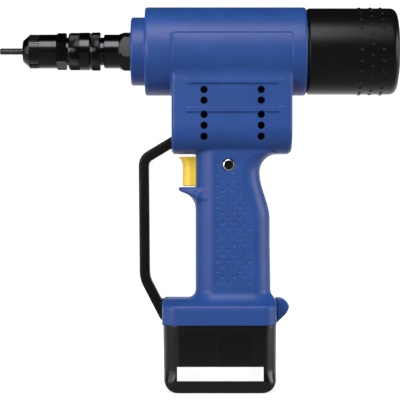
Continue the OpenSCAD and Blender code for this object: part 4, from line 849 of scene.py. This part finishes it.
thread_tree, given, thread_end = new_tree("thread", Turns="Float", Radius="Float", Length="Float",
                                          Depth="Float", Finish="Material")
spiral = add(thread_tree, "GeometryNodeCurveSpiral", Resolution=20, Rotations=given["Turns"],
             Start_Radius=given["Radius"], End_Radius=given["Radius"], Height=given["Length"]).outputs["Curve"]
ridge = add(thread_tree, "GeometryNodeCurvePrimitiveCircle", Resolution=6, Radius=given["Depth"])
swept = add(thread_tree, "GeometryNodeCurveToMesh", Curve=spiral, Profile_Curve=ridge.outputs["Curve"],
            Fill_Caps=True)
end_tree(thread_tree, swept.outputs["Mesh"], given["Finish"], thread_end)
mandrel_steel = turned_finish("hardened_steel", (0.10, 0.10, 0.105), 0.3)
mandrel_outline = [(-150.0, 0), (-150.0, 1.6), (-149.2, 2.2), (-133.2, 2.2), (-133.2, 3.1), (-105.65, 3.1),
                   (-105.65, 5.0), (-99.75, 5.0), (-99.75, 0)]
thread = grown("thread", thread_tree, Turns=THREAD_LEN / THREAD_PITCH, Radius=MM * (THREAD_R - THREAD_DEPTH),
               Length=MM * THREAD_LEN, Depth=MM * THREAD_DEPTH, Finish=mandrel_steel)
laid(thread, -149.3, AXIS_Z)
mandrel = turned("mandrel", mandrel_outline, sides=40)
piece("mandrel_body", mandrel, mandrel_steel, "mandrel", "black_steel", "threaded_mandrel")
piece("mandrel_thread", thread, mandrel_steel, "mandrel", "black_steel")

# Works: motor, gears, ball screw and bearings, held between the housing halves.
# Shafts, gears and rings are ground steel, cages and contacts brass, the thrust plate is aluminium,
# and the motor and the gear plates are painted black, partly a real finish and partly painted shade that keeps
# the vents dark.
ground_steel = turned_finish("ground_steel", (0.60, 0.61, 0.63), 0.28)
machined_alu = turned_finish("machined_aluminium", (0.72, 0.73, 0.75), 0.36)
cage_brass = turned_finish("cage_brass", (0.72, 0.52, 0.20), 0.3)
copper_wire = turned_finish("copper_wire", (0.62, 0.28, 0.14), 0.38)
# Near black paint on motor, gear plates and leads: partly real, partly painted shade seen through the vents.
motor_paint_and_vent_shade = moulded_finish("motor_paint_and_vent_shade", (0.008, 0.008, 0.009), 0.65, gloss=0.1)
dress(ground_steel, "ball_screw", "anti_turn_pin", "mandrel_holder", "retaining_ring", "ball_nut", "drive_gear",
      "bearing_inner_ring", "bearing_outer_ring", "thrust_washer_turning", "thrust_washer_fixed", "idler_gear",
      "idler_axle", "pinion_carrier", "planet_gear_1", "planet_gear_2", "planet_gear_3", "ring_gear",
      "sun_gear", "gear_posts", "guide_tube", "latch_pin")
dress(machined_alu, "thrust_plate")
dress(motor_paint_and_vent_shade, "motor_can", "gear_cover", "gear_plate", "motor_leads")
dress(cage_brass, "bearing_ball_cage", "thrust_roller_cage", "terminal_blades", "battery_contacts")
dress(copper_wire, "motor_armature")
# The stroke adjuster is blackened steel; the rear flange is blackened as painted shade, so the gap between
# barrel and cap reads dark.
dress(black_oxide, "stroke_adjuster", "rear_flange")
dress(black_nylon, "motor_end_bell", "switch_body", "terminal_block", "battery_lid")

# Rear cap: moulded in black nylon with three rows of small grip bumps.
# It is screwed on behind the barrel and covers the stroke adjuster.
CAP_R = 32.25
CAP_EDGE_R = 5.5
CAP_END = 147.0
CAP_TIP = 150.0
CAP_CROWN = 3.0
BUMP_R = 1.3
BUMP_H = 0.75
cap_outline = [(79.5, 29.25), (79.5, 31.1), (81.2, CAP_R)]
cap_outline += round_edge(CAP_END - CAP_EDGE_R, CAP_R - CAP_EDGE_R, CAP_EDGE_R, 90, 16, 10)
cap_outline += [(CAP_TIP - CAP_CROWN * t * t, (CAP_R - CAP_EDGE_R) * t) for t in (0.8, 0.6, 0.4, 0.2, 0)]
cap_outline += [(144.0, 0), (144.0, 24.0), (139.0, 29.25)]
black_cap = moulded_finish("black_cap", (0.0028, 0.0028, 0.0031), 0.32, gloss=0.25)
cap = turned("rear_cap", cap_outline, 2 * SIDES)
piece("rear_cap_body", cap, black_cap, "cap", "black_plastic", "rear_cap")
bump_shape = bmesh.new()
bmesh.ops.create_uvsphere(bump_shape, u_segments=16, v_segments=8, radius=1.0)
for corner in bump_shape.verts:
    x, y, z = corner.co
    corner.co = (MM * BUMP_R * x, MM * BUMP_H * y, MM * BUMP_R * z)
bump = meshed("bump", bump_shape)
crisp(bump, 60)
bumps = rows_round("rear_cap_bumps", bump, black_cap, rows=3, count=24, radius=CAP_R, start=118.9, pitch=8.0,
                   phase=math.radians(-2.6), shift=0.5)
piece("rear_cap_bumps", bumps, black_cap, "cap", "black_plastic")

# Trigger: moulded in yellow acetal, with a lip at the top; it slides in its slot against a spring.
# Behind it are the spring, the switch, the control board, the terminal block and the leads.
WIRE_R = 0.35
COIL_R = 2.6
TRIGGER_SPRING_Z = 167.6


def trigger_field(x, y, z):
    rise = np.clip((z - 166.4) / 7.6, 0, 1)
    front = -13 - 3.2 * (1 - np.sqrt(1 - (0.966 * rise) ** 2)) / 0.741
    pad = both(front - x, np.abs(y) - 7.25, 6.2)
    pad = both(both(pad, bar(z, 163.6, 11), 0.7), x - 6, 0.3)
    plunger = np.maximum(np.hypot(y, z - 157.6) - 2.5, bar(x, 6, 3.5))
    pocket = np.maximum(np.hypot(y, z - TRIGGER_SPRING_Z) - 3.6, -1 - x)
    return np.maximum(np.minimum(pad, plunger), -pocket)


yellow_acetal = moulded_finish("yellow_acetal", (0.97, 0.66, 0.055), 0.33)
trigger_mesh = moulded("trigger", trigger_field, (-17.2, -8.2, 151.6), (10.5, 8.2, 175.6), 0.7 * FINE_STEP)
shade_by(trigger_mesh, trigger_field)
piece("trigger_pad", trigger_mesh, yellow_acetal, "finger_trigger", "trigger_yellow", "trigger")


def coil_spring(name, start, end, height, turns, stands_for):
    """A coil of steel wire along the tool."""
    mesh = grown(name, thread_tree, Turns=turns, Radius=MM * COIL_R, Length=MM * (end - start - 2 * WIRE_R),
                 Depth=MM * WIRE_R, Finish=ground_steel)
    crisp(mesh, 60)
    coil = piece(name, laid(mesh, start + WIRE_R, height), ground_steel, "tool_frame", "steel", stands_for)
    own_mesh(coil)


coil_spring("trigger_coil", start=-0.9, end=11.8, height=TRIGGER_SPRING_Z, turns=6.0,
            stands_for="trigger_spring")
dress(moulded_finish("board_green", (0.02, 0.12, 0.05), 0.35), "control_board")
dress(moulded_finish("red_insulation", (0.45, 0.02, 0.015), 0.4), "battery_leads")

# Battery latch: a rocker moulded in the housing's blue nylon, on a steel pin in the base's rear wall.
# A spring holds its arm in the battery, and pressing its pad frees the battery.
LATCH_PIN = (55.0, 62.5)


def latch_field(x, y, z):
    pad = both(z - 69, x - 66.5, 7.5)
    pad = both(pad, 0.697 * (x - 66.4) - 0.718 * (z - 59.8), 3.0)
    pad = np.maximum(pad, 56.9 - x)
    arm = from_line(x, z, [(58.0, 61.6), (52.0, 60.0), (50.6, 56.5), (50.6, 48.5)]) - 1.45
    rocker = both(np.minimum(pad, arm), np.abs(y) - 11, 1.2)
    return np.maximum(rocker, 1.1 - np.hypot(x - LATCH_PIN[0], z - LATCH_PIN[1]))


latch_mesh = moulded("battery_latch", latch_field, (48.0, -12.0, 46.0), (67.6, 12.0, 70.2), 0.8 * FINE_STEP)
shade_by(latch_mesh, latch_field)
piece("latch_rocker", latch_mesh, blue_nylon, "latch", "housing_blue", "battery_latch")
coil_spring("latch_coil", start=43.5, end=49.0, height=59.0, turns=3.0,
            stands_for="latch_spring")

# Battery: a black case moulded with rounded feet and slightly leaning ends, holding four cells.
# A blank white label and two bare black films are stuck on its left side.
BATTERY_Y = 30.0
BATTERY_H = 50.0
BATTERY_FRONT_X = -27.25
BATTERY_REAR_X = 56.4
BATTERY_EDGE_R = 12.0
FOOT_EDGE_R = 5.0


def past_ends(x, z):
    """Distance outside the case's two ends, which lean in towards the feet."""
    down = 1 - z / BATTERY_H
    return np.maximum(BATTERY_FRONT_X + 1.0 * down - x, x - BATTERY_REAR_X + 0.4 * down)


def battery_field(x, y, z):
    side_view = both(past_ends(x, z), -z, 10.0)
    edge_r = FOOT_EDGE_R + (BATTERY_EDGE_R - FOOT_EDGE_R) * ease(z / 18)
    case = both(both(side_view, np.abs(y) - BATTERY_Y, edge_r), z - BATTERY_H, 0.6)
    room = both(both(bar(x, 14.25, 37.8), np.abs(y) - 27.0, 9.5), 2.5 - z, 7.0)
    return np.maximum(case, -room)


black_case = moulded_finish("black_case", (0.0022, 0.0022, 0.0025), 0.24, gloss=0.45)
case_mesh = moulded("battery_case", battery_field, (-29.0, -31.5, -1.5), (58.5, 31.5, 51.5), 1.2 * FINE_STEP)
shade_by(case_mesh, battery_field)
piece("battery_shell", case_mesh, black_case, "battery", "black_plastic", "battery_case")
dress(moulded_finish("cell_sleeve", (0.03, 0.17, 0.08), 0.3), "battery_cells")


def sticker(name, x0, x1, z0, z1, thick):
    """A thin sheet that follows the case's left side, between two places along it and two heights."""
    columns = 40
    shape = bmesh.new()
    for level in (0.1, -thick):
        rows = []
        for z in np.linspace(z0, z1, 6):
            places = np.linspace(x0, x1, columns + 1)
            past = np.maximum(past_ends(places, z) + BATTERY_EDGE_R, 0)
            faces_y = BATTERY_EDGE_R - BATTERY_Y - np.sqrt(BATTERY_EDGE_R ** 2 - past ** 2) + level
            rows.append([shape.verts.new((MM * x, MM * y, MM * z)) for x, y in zip(places, faces_y)])
        for low, high in zip(rows, rows[1:]):
            for k in range(columns):
                shape.faces.new((low[k], low[k + 1], high[k + 1], high[k]))
    rims = [edge for edge in shape.edges if edge.is_boundary]
    bmesh.ops.bridge_loops(shape, edges=rims)
    bmesh.ops.recalc_face_normals(shape, faces=shape.faces)
    mesh = meshed(name, shape)
    crisp(mesh)
    return mesh


white_label = moulded_finish("white_label", (0.96, 0.96, 0.95), 0.5)
label = sticker("label", -16.75, 46.6, 9.5, 19.8, 0.35)
piece("label_sheet", label, white_label, "battery", "label", "battery_label")
black_film = moulded_finish("black_film", (0.0018, 0.0018, 0.002), 0.18, gloss=0.42)
piece("front_film", sticker("front_film", -15.0, 10.7, 20.9, 44.2, 0.1), black_film, "battery", "black_plastic")
piece("rear_film", sticker("rear_film", 14.0, 38.6, 23.7, 44.2, 0.1), black_film, "battery", "black_plastic")

# Stage: a pale paper sweep under and behind the tool, lit by soft boxes and seen through a long lens.
# One soft box hangs above the camera, one stands low at its left and two stand beside the tool.
# A fifth one fills in from behind and isn't mirrored in the tool.
FRONT_Y = -3.0
BACK_Y = 1.8
BEND_R = 0.5
PAPER_TOP_Z = 0.8
PAPER_HALF_W = 3.0
PAPER_FRONT = (0.20, 0.20, 0.20)
PAPER_BACK = (0.42, 0.42, 0.42)
PAPER_GLOW = 0.8
ROOM_LIGHT = 0.02
CAMERA_Y = -1.3
CAMERA_Z = 0.1422
bend_turns = [math.radians(10 * k) for k in range(10)]
sweep = [(FRONT_Y, 0.0)]
sweep += [(BACK_Y + BEND_R * math.sin(a), BEND_R * (1 - math.cos(a))) for a in bend_turns]
sweep += [(BACK_Y + BEND_R, PAPER_TOP_Z)]
sweep_shape = bmesh.new()
rows = [[sweep_shape.verts.new((x, y, z)) for x in (-PAPER_HALF_W, PAPER_HALF_W)] for y, z in sweep]
for near, far in zip(rows, rows[1:]):
    sweep_shape.faces.new((near[0], near[1], far[1], far[0])).smooth = True
sweep_mesh = meshed("paper_sweep", sweep_shape)
paper_sweep = put("paper_sweep", sweep_mesh)
paper, paper_tree, paper_shader, place = finish_tree("white_paper")
fibres = spread(paper_tree, speckle(paper_tree, place, 0.3), 0.85, 0.95)
paper_tree.links.new(fibres, paper_shader.inputs["Roughness"])
paper_shader.inputs["Specular IOR Level"].default_value = 0.1
depth_split = paper_tree.nodes.new("ShaderNodeSeparateXYZ")
paper_tree.links.new(place, depth_split.inputs["Vector"])
depth = depth_split.outputs["Y"]
paper_colour = shades(paper_tree, spread(paper_tree, depth, 0, 1, -0.35, -0.1), PAPER_FRONT, PAPER_BACK)
paper_tree.links.new(paper_colour, paper_shader.inputs["Base Color"])
light_path = paper_tree.nodes.new("ShaderNodeLightPath").outputs
to_lens = maths(paper_tree, "MULTIPLY", light_path["Is Camera Ray"], PAPER_GLOW)
behind = spread(paper_tree, depth, 0.0, PAPER_GLOW, 0.0, 0.25)
near_white = maths(paper_tree, "MAXIMUM", to_lens, behind)
whiteness = maths(paper_tree, "ADD", near_white, spread(paper_tree, depth, 0.0, 0.2, 0.0, 1.5))
seen = maths(paper_tree, "MAXIMUM", light_path["Is Camera Ray"], light_path["Is Glossy Ray"])
paper_shader.inputs["Emission Color"].default_value = (1, 1, 1, 1)
paper_tree.links.new(maths(paper_tree, "MULTIPLY", whiteness, seen), paper_shader.inputs["Emission Strength"])
sweep_mesh.materials.append(paper)


def soft_box(name, place, aim, width, height, radiance):
    lamp = bpy.data.lights.new(name, "AREA")
    lamp.shape = "RECTANGLE"
    lamp.size = width
    lamp.size_y = height
    lamp.energy = radiance * math.pi * width * height
    holder = put(name, lamp)
    holder.location = place
    holder.rotation_euler = (Vector(aim) - Vector(place)).to_track_quat("-Z", "Y").to_euler()
    return holder


soft_box("top_box", (-0.1, -0.90, 1.24), (0, 0, 0.22), 0.6, 0.9, 7.8)
soft_box("front_box", (-0.75, -1.15, 0.42), (0, 0, 0.15), 0.7, 0.5, 8.2)
soft_box("left_box", (-1.28, -0.50, 0.40), (0, 0, 0.15), 0.8, 0.8, 2.2)
soft_box("right_box", (1.30, -0.30, 0.40), (0, 0, 0.15), 0.9, 0.8, 5.2)
soft_box("back_box", (-0.3, 1.30, 0.90), (0, 0, 0.15), 1.2, 0.7, 4.5).visible_glossy = False
world = bpy.data.worlds.new("studio")
world.use_nodes = True
world.node_tree.nodes["Background"].inputs["Color"].default_value = (1, 1, 1, 1)
in_camera = world.node_tree.nodes.new("ShaderNodeLightPath").outputs["Is Camera Ray"]
room_light = maths(world.node_tree, "MULTIPLY_ADD", in_camera, 1 - ROOM_LIGHT, ROOM_LIGHT)
world.node_tree.links.new(room_light, world.node_tree.nodes["Background"].inputs["Strength"])
scene.world = world
scene.view_settings.view_transform = "Standard"

camera = bpy.data.cameras.new("camera")
camera.lens = 156
camera.sensor_width = 36
camera_holder = put("camera", camera)
camera_holder.location = (0, CAMERA_Y, CAMERA_Z)
camera_holder.rotation_euler = (math.pi / 2, 0, 0)
scene.camera = camera_holder
